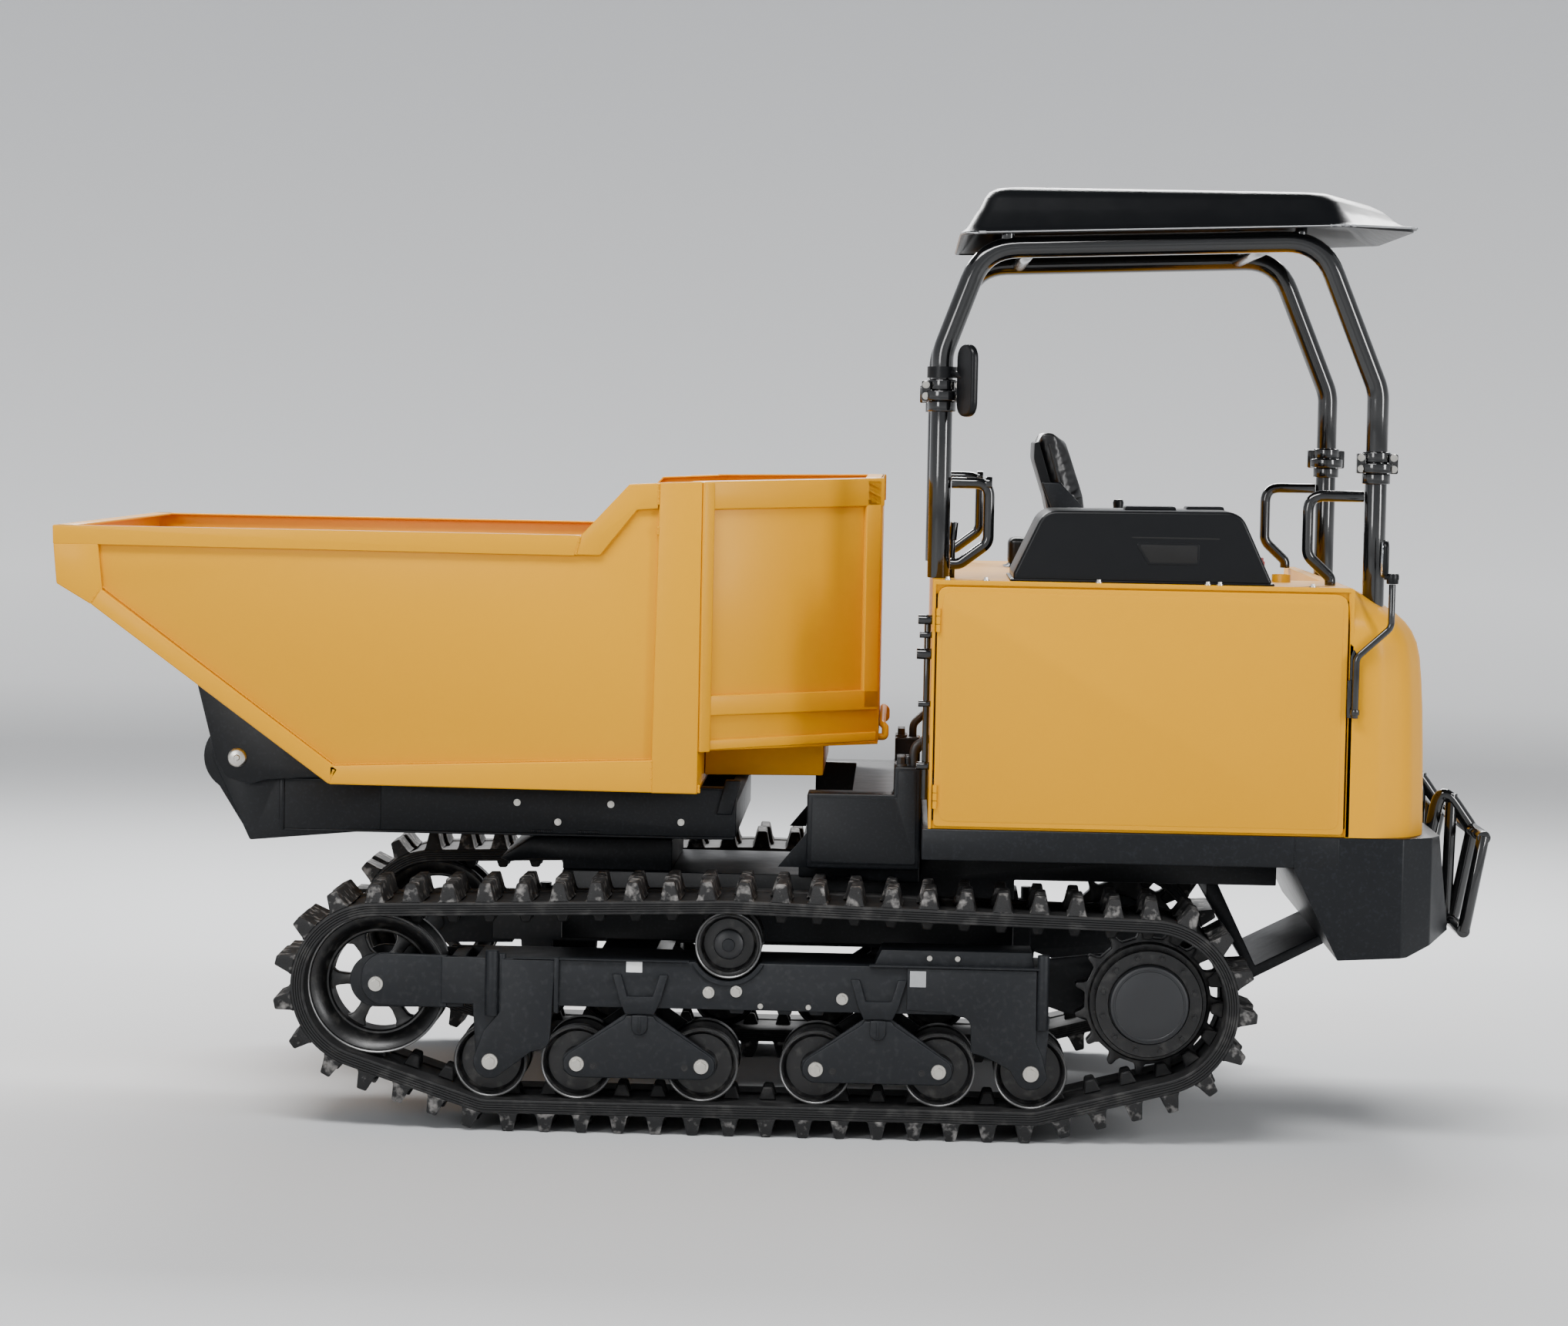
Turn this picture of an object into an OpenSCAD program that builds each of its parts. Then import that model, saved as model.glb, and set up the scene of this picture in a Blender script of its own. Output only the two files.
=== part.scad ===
// Rubber-tracked crawler carrier: swivel-and-tip skip at the rear, engine body and canopy
// operator station at the front.
// Millimetres. Origin: on the ground under the middle of the overall box. +X is forward
// (the operator faces it), +Z is up, and the machine's right-hand side is -Y.

/* [Overall] */
// Overall width across the two track belts
overall_width = 1650; // [1560:1:1800]
// Height of the canopy roof above the ground
canopy_height = 2390; // [2250:1:2500]

/* [Tracks] */
// Width of one rubber belt
belt_width = 320; // [290:1:340]
// Thickness of the belt between its lugs
belt_thick = 33; // [25:1:40]
// Height of a tread lug above the belt
lug_height = 47; // [30:1:47]
// Wanted distance from lug to lug; the belt takes the nearest whole number of lugs
lug_pitch = 90; // [80:1:120]
// Radius of the six bottom rollers of a side
roller_r = 91.5; // [80:0.5:91.5]
// Radius of the front idler's rim
idler_r = 176; // [160:1:176.5]
// Number of teeth on the drive sprocket
sprocket_teeth = 15; // [11:1:19]
// Radius of the roller pins
roller_pin_r = 20; // [14:1:24]

/* [Skip] */
// Width of the skip over its stiffening bands
skip_width = 1500; // [1380:1:1600]
// Thickness of the skip's plates
skip_wall = 6; // [4:1:10]
// Height of the skip's side rims above the ground
rim_height = 1492; // [1440:1:1540]
// Radius of the two pins the skip tips about
tip_pin_r = 25; // [18:1:30]
// Outer radius of the tipping cylinder's barrel
barrel_r = 40; // [32:1:42]

/* [Body and operator station] */
// Width of the engine body
body_width = 1560; // [1500:1:1600]
// Radius of the canopy posts
post_r = 27.5; // [22:0.5:30]
// Width of the canopy roof
roof_width = 1380; // [1340:1:1480]
// Width of the seat cushion
seat_width = 460; // [380:1:500]
// Radius of the front guard's tubes
guard_r = 17; // [12:0.5:20]

/* [Hidden] */
run = 0.05;                        // radial clearance of every running fit
yo = -overall_width / 2;           // outer edge of the right belt
yi = yo + belt_width;              // inner edge of the right belt
yc = (yo + yi) / 2;                // centre line of the right track
fo = yo + 35;                      // outer face of the right track frame
fi = yi - 35;                      // inner face of the right track frame
gap = belt_thick + lug_height;     // height of the belt's inside over the ground
axz = gap + 92;                    // height of the bottom rollers' axles
sw = skip_width / 2;
bw = body_width / 2;
rw = roof_width / 2;
wheels = [[-695, axz, 92], [658, axz, 92], [950, 348, 188], [-103, 476, 84], [-985, 357, 177]];
pivots = [[-321, -477, -165], [274.5, 121, 428]];   // bogie pivot x, then its two rollers' x
hp = [[1425, 779], [1650, 779], [1650, 813], [1645, 1013], [1637, 1150], [1625, 1232],
      [1604, 1282], [1572, 1320], [1530, 1350], [1480, 1376], [1425, 1400]];
hq = [[1420, 770], [1642, 770], [1642, 813], [1637, 1012], [1629, 1149], [1617, 1230],
      [1597, 1278], [1567, 1314], [1526, 1343], [1477, 1368], [1420, 1393]];

// a flat profile in X and Z, made solid from y0 to y1
module prism(y0, y1, p) translate([0, y1, 0]) rotate([90, 0, 0])
    linear_extrude(height = y1 - y0) polygon(p);
module box(x0, x1, y0, y1, z0, z1) translate([x0, y0, z0]) cube([x1 - x0, y1 - y0, z1 - z0]);
module rod_y(x, z, r, y0, y1) translate([x, y1, z]) rotate([90, 0, 0])
    cylinder(r = r, h = y1 - y0, $fn = 64);
module rod_x(y, z, r, x0, x1) translate([x0, y, z]) rotate([0, 90, 0])
    cylinder(r = r, h = x1 - x0, $fn = 64);
module rod_z(x, y, r, z0, z1) translate([x, y, z0]) cylinder(r = r, h = z1 - z0, $fn = 64);
module both() { children(); mirror([0, 1, 0]) children(); }
module turned(x, z, y, p) translate([x, y, z]) rotate([90, 0, 0])
    rotate_extrude($fn = 96) polygon(p);
// a straight round bar from p to q
module bar(p, q, r) {
    v = q - p;
    translate(p) rotate([0, acos(v[2] / norm(v)), atan2(v[1], v[0])])
        cylinder(r = r, h = norm(v), $fn = 48);
}
// a bent round bar: straight lengths with a ball at each bend
module bent(p, r) {
    for (i = [0 : len(p) - 2]) bar(p[i], p[i + 1], r);
    for (i = [1 : len(p) - 2]) translate(p[i]) sphere(r = r * 1.18, $fn = 48);
}

// ---- the belt's path: arcs on the five end wheels joined by straight runs ----
function lean(a, b, d) = let(v = [b[0] - a[0], b[1] - a[1]])
    atan2(v[1], v[0]) - acos((a[2] - b[2]) / norm(v));
function arc(c, d, a0, a1) = let(e = a1 < a0 ? a1 + 360 : a1, n = max(1, ceil((e - a0) / 6)))
    [for (k = [0 : n]) [c[0] + (c[2] + d) * cos(a0 + (e - a0) * k / n),
                        c[1] + (c[2] + d) * sin(a0 + (e - a0) * k / n)]];
function loop(d) = concat([[0, gap - d]],
    arc(wheels[1], d, -90, lean(wheels[1], wheels[2], d)),
    arc(wheels[2], d, lean(wheels[1], wheels[2], d), lean(wheels[2], wheels[3], d)),
    arc(wheels[3], d, lean(wheels[2], wheels[3], d), lean(wheels[3], wheels[4], d)),
    arc(wheels[4], d, lean(wheels[3], wheels[4], d), lean(wheels[4], wheels[0], d)),
    arc(wheels[0], d, lean(wheels[4], wheels[0], d), -90));
function summed(p, i = 0, s = 0) = i >= len(p) - 1 ? [s]
    : concat([s], summed(p, i + 1, s + norm(p[i + 1] - p[i])));
path = concat(loop(belt_thick), [[0, lug_height]]);
dist = summed(path);
path_len = dist[len(dist) - 1];
lugs = round(path_len / lug_pitch);
step = path_len / lugs;
px = [for (i = [0 : len(path) - 1]) [dist[i], path[i][0]]];
pz = [for (i = [0 : len(path) - 1]) [dist[i], path[i][1]]];
function wrap(s) = s < 0 ? s + path_len : s > path_len ? s - path_len : s;
function at(s) = [lookup(wrap(s), px), lookup(wrap(s), pz)];
function out(s) = let(v = at(s + 2) - at(s - 2)) [v[1], -v[0]] / norm(v);
tread = [for (i = [0 : lugs - 1], k = [0 : 4]) let(s = i * step)
    k == 0 ? at(s - 24) : k == 1 ? at(s - 11) + lug_height * out(s)
    : k == 2 ? at(s + 11) + lug_height * out(s) : k == 3 ? at(s + 24) : at(s + step / 2)];

module belt() color([0.13, 0.13, 0.13]) difference() {
    prism(yo, yi, tread);
    prism(yo - 1, yi + 1, loop(0));
}
// beam, pin blocks, end-roller legs, carrier-roller ears and the drive's support
module side_frame() color([0.10, 0.11, 0.12]) {
    difference() {
        box(-820, 690, fo, fi, 315, 433);
        box(-821, -735, fo + 16, fi - 16, 310, 440);
        rod_x(yc, 367, 38 + run, -736, -540);
        rod_y(-103, 476, 91, fo - 1, fi - 14);
        box(-530, 691, fo + 16, fi - 16, 327, 421);
    }
    prism(fi - 14, fi, [[-160, 425], [-46, 425], [-70, 500], [-136, 500]]);
    rod_y(-103, 476, 16, fo + 8, fi - 1);
    for (b = pivots) {
        box(b[0] - 30, b[0] + 30, fo + 20, fi - 20, 258, 315);
        rod_y(b[0], 288, 15, fo - 4, fi + 4);
    }
    for (x = [-695, 658]) {
        for (y = [fo, fi - 14])
            prism(y, y + 14, [[x - 45, 316], [x - 34, axz - 24], [x + 34, axz - 24], [x + 45, 316]]);
        rod_y(x, axz, roller_pin_r, fo - 5, fi + 5);
    }
    prism(fo, fo + 14, [[-700, 316], [-650, 200], [-550, 228], [-540, 316]]);
    prism(fo, fo + 14, [[507, 316], [507, 222], [600, 190], [660, 200], [690, 316]]);
    prism(fi - 35, fi - 5, [[680, 320], [680, 430], [860, 452], [950, 478], [1040, 440],
        [1075, 348], [1040, 256], [950, 218], [860, 260]]);
    rod_y(950, 348, 60, yc - 70, fi - 34);
}
// the fork that carries the idler and slides in the beam to tension the belt
module fork() color([0.13, 0.14, 0.15]) {
    for (y = [fo + 20, fi - 38]) {
        prism(y, y + 18, [[-985, 300], [-765, 304], [-765, 430], [-985, 434]]);
        rod_y(-985, 367, 67, y, y + 18);
    }
    box(-800, -765, fo + 36, fi - 36, 304, 430);
    rod_x(yc, 367, 38, -770, -560);
    rod_y(-985, 357, 25, fo + 8, fi - 16);
}
module idler() color([0.16, 0.16, 0.17]) difference() {
    turned(-985, 357, yc, [[25 + run, -70], [50, -70], [50, -15], [110, -15], [110, -53],
        [idler_r - 10, -85], [idler_r, -85], [idler_r, -52], [idler_r - 52, -46],
        [idler_r - 52, 46], [idler_r, 52], [idler_r, 85], [idler_r - 10, 85], [110, 53],
        [110, 15], [50, 15], [50, 70], [25 + run, 70]]);
    for (a = [15 : 60 : 315]) rod_y(-985 + 80 * cos(a), 357 + 80 * sin(a), 20, yc - 20, yc + 20);
}
// toothed drive wheel with its bolted hub, turning on the drive's spigot
module sprocket() color([0.15, 0.15, 0.16]) difference() {
    union() {
        prism(yc - 25, yc + 25, [for (i = [0 : 4 * sprocket_teeth - 1])
            let(a = 360 * (i + (i % 2 == 0 ? 0.2 : -0.2)) / (4 * sprocket_teeth),
                r = i % 4 < 2 ? 186.5 : 166) [950 + r * cos(a), 348 + r * sin(a)]]);
        rod_y(950, 348, 115, yc - 80, yc + 65);
        rod_y(950, 348, 99, yc - 110, yc - 79);
        for (a = [15 : 30 : 345])
            rod_y(950 + 107 * cos(a), 348 + 107 * sin(a), 6, yc - 86, yc - 79);
    }
    rod_y(950, 348, 60 + run, yc - 71, yc + 66);
}
module carrier() color([0.16, 0.16, 0.17])
    turned(-103, 476, yc, [[16 + run, -108], [83.5, -108], [83.5, -52], [36, -48], [36, 48],
        [83.5, 52], [83.5, 108], [16 + run, 108]]);
module roller(x) color([0.16, 0.16, 0.17])
    turned(x, axz, yc, [[roller_pin_r + run, -102], [roller_r - 14, -102], [roller_r, -92],
        [roller_r, -52], [38, -48], [38, 48], [roller_r, 52], [roller_r, 92],
        [roller_r - 14, 102], [roller_pin_r + run, 102]]);
// two plates that rock on the frame's pin and carry two rollers
module bogie(b) color([0.13, 0.14, 0.15]) {
    difference() {
        for (y = [fo, fi - 14]) prism(y, y + 14, [[b[0] - 20, 310], [b[0] + 20, 310],
            [b[2] + 34, axz + 20], [b[2] + 34, axz - 18], [b[2] + 16, axz - 32],
            [b[1] - 16, axz - 32], [b[1] - 34, axz - 18], [b[1] - 34, axz + 20]]);
        rod_y(b[0], 288, 15 + run, fo - 5, fi + 5);
    }
    for (x = [b[1], b[2]]) rod_y(x, axz, roller_pin_r, fo - 5, fi + 5);
}

// ---- chassis ----
// plan of the front end, with cut corners; c draws it in by a wall
module nose(y, c) linear_extrude(height = 2000) polygon([[1200, -y], [1570, -y],
    [1650, 60 - y], [1720 - c, 210 - y], [1720 - c, y - 210], [1650, y - 60], [1570, y],
    [1200, y]]);
module chassis_frame() color([0.10, 0.11, 0.12]) {
    difference() {
        box(-560, 620, -300, 300, 425, 605);
        box(-561, 621, -288, 288, 437, 593);
    }
    for (x = [-440, 330]) box(x, x + 140, fi, -fi, 325, 426);
    difference() {
        box(374, 1300, -300, 300, 604, 702);
        box(386, 1301, -288, 288, 616, 690);
    }
    for (x = [374, 780, 1240]) box(x, x + 60, -bw, bw, 701, 779);
    both() {
        box(374, 1300, -bw, 80 - bw, 701, 779);
        box(374, 1300, -300, -220, 701, 779);
    }
    // front box: sloping back, flat bottom, raked front with its corners cut off in plan
    difference() {
        intersection() {
            prism(-bw, bw, [[1299, 701], [1410, 480], [1586, 482], [1708, 534], [1675, 767],
                [1672, 779], [1299, 779]]);
            nose(bw, 0);
        }
        intersection() {
            prism(12 - bw, bw - 12, [[1313, 790], [1313, 703], [1418, 492], [1584, 494],
                [1695, 541], [1663, 767], [1661, 790]]);
            nose(bw - 12, 12);
        }
    }
}
module belly_guard() color([0.10, 0.11, 0.12]) prism(-280, 280, [[1121, 604], [1121, 570],
    [1247, 359], [1429, 454], [1424, 479], [1252, 392], [1150, 604]]);
module slew_pedestal() color([0.10, 0.11, 0.12]) {
    prism(-290, 290, [[-560, 606], [-274, 606], [-274, 690], [-640, 690], [-725, 632],
        [-700, 622], [-640, 632], [-560, 632]]);
    rod_z(-457, 0, 240, 689, 704);
    rod_z(-457, 0, 60, 703, 718);
}
module valve_box() color([0.11, 0.12, 0.13]) {
    box(60, 196, -420, 420, 611, 676);
    box(195, 371, -490, 490, 611, 843);
    both() {
        box(82, 371, -560, -450, 650, 843);
        // taller end, outside the circle that the skip swings through
        box(301, 371, -560, -450, 842, 915);
    }
    for (y = [-530, -480]) rod_z(336, y, 11, 914, 940);
}

// ---- swivelling subframe, skip and tipping cylinder ----
module skip_frame() color([0.10, 0.11, 0.12]) {
    both() {
        box(-1279, -100, -530, -470, 721, 845);
        difference() {
            union() {
                prism(-530, -500, [[-1440, 850], [-1340, 690], [-1009, 724], [-1009, 845],
                    [-1275, 868], [-1285, 925]]);
                rod_y(-1374, 903, 92, -530, -500);
            }
            rod_y(-1374, 903, tip_pin_r, -535, -495);
        }
        box(-1279, -1190, -46, -31, 721, 786);
        box(-705, -210, -500, -62, 721, 733);
    }
    box(-1279, -1271.5, -471, 471, 721, 845);
    box(-140, -100, -471, 471, 721, 800);
    difference() {
        box(-705, -210, -63, 63, 721, 733);
        rod_z(-457, 0, 60 + run, 715, 740);
    }
    difference() {
        rod_z(-457, 0, 215, 706, 722);
        rod_z(-457, 0, 60 + run, 700, 730);
    }
    rod_y(-1234, 753, 20, -46, 46);
}
module tip_pins() color([0.65, 0.63, 0.58]) both()
    rod_y(-1374, 903, tip_pin_r, -574, -499);

skip_side = [[-1816.5, rim_height], [-1806, 1346], [-1719, 1295], [-1114, 855], [-190, 850],
    [-190, 958], [258, 966], [258, 1645], [-190, 1632], [-371, 1622], [-491, rim_height]];
w = skip_wall;
rib = 14;                          // how far the bands stand proud of the skip's sides
skip_in = [[-1810.5, 1700], [-1800, 1350], [-1714, 1295 + w], [-1112, 855 + w * 1.2],
    [-190 - w, 850 + w], [-190 - w, 958 + w], [258 - w, 966 + w], [258 - w, 1700]];
module plan(y, c) linear_extrude(height = 2000) polygon([[-1900, -y], [-190 + 0.35 * c, -y],
    [258 + c, -380 - 0.48 * c], [258 + c, 380 + 0.48 * c], [-190 + 0.35 * c, y], [-1900, y]]);
module skip() color([0.87, 0.65, 0.20]) {
    y = sw - rib;
    difference() {
        intersection() { prism(-y, y, skip_side); plan(y, 0); }
        intersection() { prism(w - y, y - w, skip_in); plan(y - w, -w); }
    }
    both() {
        prism(-sw, -y + 1, [[-1816.5, rim_height], [-1815, 1446], [-491, 1442],
            [-491, rim_height]]);
        prism(-sw, -y + 1, [[-1815, 1450], [-1806, 1346], [-1719, 1295], [-1690, 1330],
            [-1700, 1450]]);
        prism(-sw, -y + 1, [[-1719, 1295], [-1114, 855], [-1090, 893], [-1695, 1340]]);
        prism(-sw, -y + 1, [[-1114, 855], [-190, 850], [-190, 938], [-1114, 905]]);
        prism(-sw, -y + 1, [[-307, 850], [-190, 850], [-190, 1632], [-290, 1628]]);
        prism(-sw, -y + 1, [[-491, rim_height], [-371, 1622], [-280, 1625], [-280, 1565],
            [-350, 1560], [-440, 1443], [-500, 1443]]);
        // hinge bracket under the slope, beside the subframe's ear
        difference() {
            union() {
                prism(-564, -539, [[-1487, 1130], [-1120, 864], [-1300, 850], [-1374, 850],
                    [-1425, 900]]);
                rod_y(-1374, 903, 54, -564, -539);
            }
            rod_y(-1374, 903, tip_pin_r + run, -570, -530);
        }
        // lugs the cylinder's eye pushes between
        prism(-48, -34, [[-520, 856], [-504, 792], [-444, 792], [-428, 856]]);
    }
    // frame of the chamfered panel: top, head-end and bottom bands, and a stepped sill below
    both() intersection() {
        translate([-190, -y, 0]) rotate([0, 0, atan2(y - 380, 448)]) {
            prism(-rib, 1, [[0, 1566], [576, 1576], [576, 1646], [448, 1641], [0, 1633]]);
            prism(-rib, 1, [[512, 1050], [560, 1050], [560, 1640], [512, 1640]]);
            prism(-rib, 1, [[0, 1045], [560, 1047], [560, 1100], [0, 1098]]);
            prism(-rib / 2, 1, [[0, 959], [568, 966], [568, 990], [0, 984]]);
        }
        box(-190, 258, -sw, 0, 900, 1640);
    }
    rod_y(268, 1007, 11, -330, 330);
    // lower box under the head
    difference() {
        box(-190, 118, -380, 380, 869, 961);
        box(-188, 112, -374, 374, 863, 957);
    }
}
module cylinder_barrel() color([0.10, 0.11, 0.12]) {
    p = [-1234, 0, 753]; u = [760, 0, 60] / norm([760, 0, 60]);
    difference() {
        union() {
            bar(p + 20 * u, p + 62 * u, 28);
            bar(p + 61 * u, p + 560 * u, barrel_r);
            rod_y(-1234, 753, 36, -29, 29);
        }
        rod_y(-1234, 753, 20 + run, -60, 60);
        bar(p + 60 * u, p + 570 * u, 22 + run);
    }
}
module cylinder_rod() color([0.78, 0.78, 0.80]) {
    p = [-1234, 0, 753]; u = [760, 0, 60] / norm([760, 0, 60]);
    bar(p + 70 * u, p + 740 * u, 22);
    rod_y(-474, 813, 28, -27, 27);
}

// ---- engine body ----
module front_shell() difference() {
    intersection() { prism(-bw, bw, hp); translate([-42, 0, 0]) nose(bw, 0); }
    intersection() { prism(8 - bw, bw - 8, hq); translate([-42, 0, 0]) nose(bw - 8, 8); }
}
module body_shell() color([0.87, 0.65, 0.20]) {
    box(389, 397, -bw, bw, 779, 1400);
    box(396, 1060, -bw, bw, 1388, 1400);
    box(1059, 1425, -bw, -330, 1388, 1400);
    box(1395, 1425, -331, bw, 1388, 1400);
    box(1052, 1403, -338, bw, 1120, 1132);
    box(1052, 1060, -338, bw, 1131, 1389);
    box(1059, 1396, -338, -330, 1131, 1389);
    box(1395, 1403, -338, bw, 1131, 1389);
    both() {
        box(396, 1060, 8 - bw, 28 - bw, 1366, 1389);
        box(396, 1426, 8 - bw, 28 - bw, 779, 800);
        box(1424, 1432, -bw, -602, 779, 1390);
        box(1455, 1531, -678, -602, 1340, 1392);
    }
    box(1059, 1426, 8 - bw, 28 - bw, 1366, 1389);
    box(1052, 1425, bw - 8, bw, 779, 1125);
    box(1395, 1425, bw - 8, bw, 1120, 1389);
    difference() {
        front_shell();
        box(1424, 1700, -598, 598, 902, 1420);
    }
    difference() {
        rod_z(1279, -450, 24, 1399, 1420);
        rod_z(1279, -450, 19, 1380, 1430);
    }
}
module front_hood() color([0.87, 0.65, 0.20]) intersection() {
    front_shell();
    box(1427, 1700, -594, 594, 906, 1420);
}
module side_door_right() color([0.87, 0.65, 0.20]) {
    box(400, 1421, -bw, 6 - bw, 784, 1385);
    for (z = [830, 1270]) rod_z(404, -bw - 3, 6, z, z + 60);
}
module side_door_left() color([0.87, 0.65, 0.20]) {
    box(400, 1047, bw - 6, bw, 784, 1385);
    for (z = [830, 1270]) rod_z(404, bw + 3, 6, z, z + 60);
}
module engine() color([0.30, 0.31, 0.32]) {
    box(620, 1010, -230, 230, 860, 1160);
    box(660, 980, -190, 190, 780, 861);
    rod_x(0, 1000, 150, 1009, 1040);
    box(700, 940, -120, 120, 1159, 1240);
}
module radiator() color([0.18, 0.18, 0.19]) box(470, 540, -330, 330, 800, 1300);

// ---- operator station ----
cr = [[586, 1401], [659, 1577], [1151, 1582], [1231, 1407], [1231, 1401]];
module console_right() color([0.11, 0.12, 0.13]) {
    difference() {
        prism(-760, -350, cr);
        prism(-754, -356, [[596, 1390], [663, 1571], [1147, 1576], [1224, 1405], [1224, 1390]]);
    }
    box(950, 1110, -351, -282, 1401, 1470);
}
module console_left() color([0.11, 0.12, 0.13]) difference() {
    box(600, 1000, 290, 430, 1401, 1480);
    box(606, 994, 296, 424, 1390, 1474);
}
module seat_base() color([0.10, 0.11, 0.12]) {
    for (y = [-150, 120]) box(720, 1100, y, y + 30, 1401, 1440);
    box(700, 1130, -200, 200, 1439, 1465);
    for (y = [-215, 200]) prism(y, y + 15, [[690, 1440], [750, 1440], [790, 1565], [720, 1640],
        [670, 1640], [700, 1565]]);
}
module seat_cushion() color([0.09, 0.09, 0.10])
    box(800, 1140, -seat_width / 2, seat_width / 2, 1466, 1560);
module seat_back() color([0.09, 0.09, 0.10])
    prism(-195, 195, [[712, 1482], [784, 1482], [770, 1600], [707, 1784], [645, 1784],
        [680, 1600]]);
module joystick(x, y) color([0.06, 0.06, 0.07]) {
    translate([x, y, 1484]) cylinder(r1 = 8, r2 = 14, h = 28, $fn = 48);
    rod_z(x, y, 7, 1510, 1550);
    rod_z(x, y, 15, 1545, 1590);
}
module fuel_cap() color([0.70, 0.08, 0.06]) difference() {
    rod_z(1279, -450, 34, 1401, 1434);
    rod_z(1279, -450, 24 + run, 1395, 1421);
}
module lower_posts() color([0.08, 0.08, 0.09]) both() {
    rod_z(402, -640, post_r, 1400, 1858);
    rod_z(1493, -640, post_r, 1392, 1697);
}
top = canopy_height;
module upper_frame() color([0.08, 0.08, 0.09]) {
    both() {
        bent([[402, -640, 1858], [402, -640, 1966], [499, -640, top - 161],
            [1341, -640, top - 129], [1493, -640, 1889], [1493, -640, 1697]], post_r);
        for (x = [560, 1290]) rod_z(x, -640, 16, top - 155, top - 12);
    }
    for (x = [620, 1230]) bar([x, -640, top - 161 + (x - 499) * 0.038],
        [x, 640, top - 161 + (x - 499) * 0.038], 18);
}
module post_clamps() color([0.12, 0.12, 0.13]) both()
    for (c = [[402, 1858], [1493, 1697]]) difference() {
        union() {
            rod_z(c[0], -640, 50, c[1] - 12, c[1] + 12);
            rod_z(c[0], -640, 36, c[1] - 40, c[1] + 40);
        }
        rod_z(c[0], -640, post_r + run, c[1] - 60, c[1] + 60);
    }
module roof_plan(y, c) linear_extrude(height = 3000) polygon([[441 + c, -y], [1404, -y],
    [1628 - c, 300 - y], [1628 - c, y - 300], [1404, y], [441 + c, y]]);
module canopy_roof() color([0.09, 0.10, 0.11]) difference() {
    intersection() {
        prism(-rw, rw, [[441, top - 130], [1404, top - 94], [1628, top - 76], [1628, top - 60],
            [1362, top - 2], [900, top], [514, top - 2], [441, top - 88]]);
        roof_plan(rw, 0);
    }
    intersection() {
        prism(9 - rw, rw - 9, [[449, top - 200], [1612, top - 200], [1612, top - 68],
            [1360, top - 12], [518, top - 12], [449, top - 94]]);
        roof_plan(rw - 9, 9);
    }
}
// hand loops: rear pair beside the seat, front pair by the hood's corners
module grab_handles() color([0.07, 0.07, 0.08]) both() {
    bent([[431, -640, 1640], [526, -640, 1640], [526, -640, 1490], [455, -640, 1436],
        [431, -640, 1436]], 14);
    bent([[1464, -640, 1625], [1326, -640, 1625], [1326, -640, 1475], [1385, -640, 1420],
        [1385, -640, 1400]], 14);
}
module front_guard() color([0.08, 0.08, 0.09]) {
    both() bent([[1695, -330, 745], [1716, -330, 884], [1799.5, -330, 766], [1754, -330, 527],
        [1712, -330, 535]], guard_r);
    both() bar([1799.5, -540, 766], [1754, -540, 527], guard_r * 0.95);
    rod_y(1816.5 - guard_r, 766, guard_r, -560, 560);
    rod_y(1771 - guard_r, 527, guard_r, -560, 560);
}
module mirror_rear() color([0.07, 0.07, 0.08]) {
    difference() {
        rod_z(402, -640, post_r + 11, 1902, 1930);
        rod_z(402, -640, post_r + run, 1900, 1932);
    }
    bar([427, -664, 1916], [462, -708, 1900], 8);
    translate([464, -712, 0]) rotate([0, 0, -62]) {
        for (z = [1846, 1945]) rod_y(0, z, 42, -10, 10);
        box(-42, 42, -10, 10, 1846, 1945);
    }
}
module mirror_arm() color([0.07, 0.07, 0.08])
    bent([[1439, -797, 1078], [1440, -797, 1229], [1523, -797, 1305], [1523, -797, 1412]], 12);
module mirror_front() color([0.07, 0.07, 0.08]) {
    rod_z(1523, -797, 17, 1413, 1440);
    box(1496, 1512, -818, -730, 1426, 1523);
    box(1505, 1524, -806, -796, 1420, 1438);
}

chassis_frame();
belly_guard();
slew_pedestal();
valve_box();
body_shell();
engine();
radiator();
console_right();
console_left();
lower_posts();
upper_frame();
post_clamps();
canopy_roof();
grab_handles();
front_guard();
side_frame();  // track_frame_right
mirror([0, 1, 0]) side_frame();  // track_frame_left
belt();  // track_belt_right
mirror([0, 1, 0]) belt();  // track_belt_left
fork();  // idler_fork_right
mirror([0, 1, 0]) fork();  // idler_fork_left
idler();  // idler_right
mirror([0, 1, 0]) idler();  // idler_left
sprocket();  // sprocket_right
mirror([0, 1, 0]) sprocket();  // sprocket_left
carrier();  // carrier_roller_right
mirror([0, 1, 0]) carrier();  // carrier_roller_left
roller(-695);  // roller_1_right
mirror([0, 1, 0]) roller(-695);  // roller_1_left
roller(-477);  // roller_2_right
mirror([0, 1, 0]) roller(-477);  // roller_2_left
roller(-165);  // roller_3_right
mirror([0, 1, 0]) roller(-165);  // roller_3_left
roller(121);  // roller_4_right
mirror([0, 1, 0]) roller(121);  // roller_4_left
roller(428);  // roller_5_right
mirror([0, 1, 0]) roller(428);  // roller_5_left
roller(658);  // roller_6_right
mirror([0, 1, 0]) roller(658);  // roller_6_left
bogie(pivots[0]);  // bogie_a_right
mirror([0, 1, 0]) bogie(pivots[0]);  // bogie_a_left
bogie(pivots[1]);  // bogie_b_right
mirror([0, 1, 0]) bogie(pivots[1]);  // bogie_b_left
skip_frame();
tip_pins();
skip();
cylinder_barrel();
cylinder_rod();
side_door_right();
side_door_left();
front_hood();
seat_base();
seat_cushion();
seat_back();
translate([0, 0, -10]) joystick(1030, -316);  // joystick_right
joystick(900, 360);  // joystick_left
fuel_cap();
mirror_rear();
mirror_arm();
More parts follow.
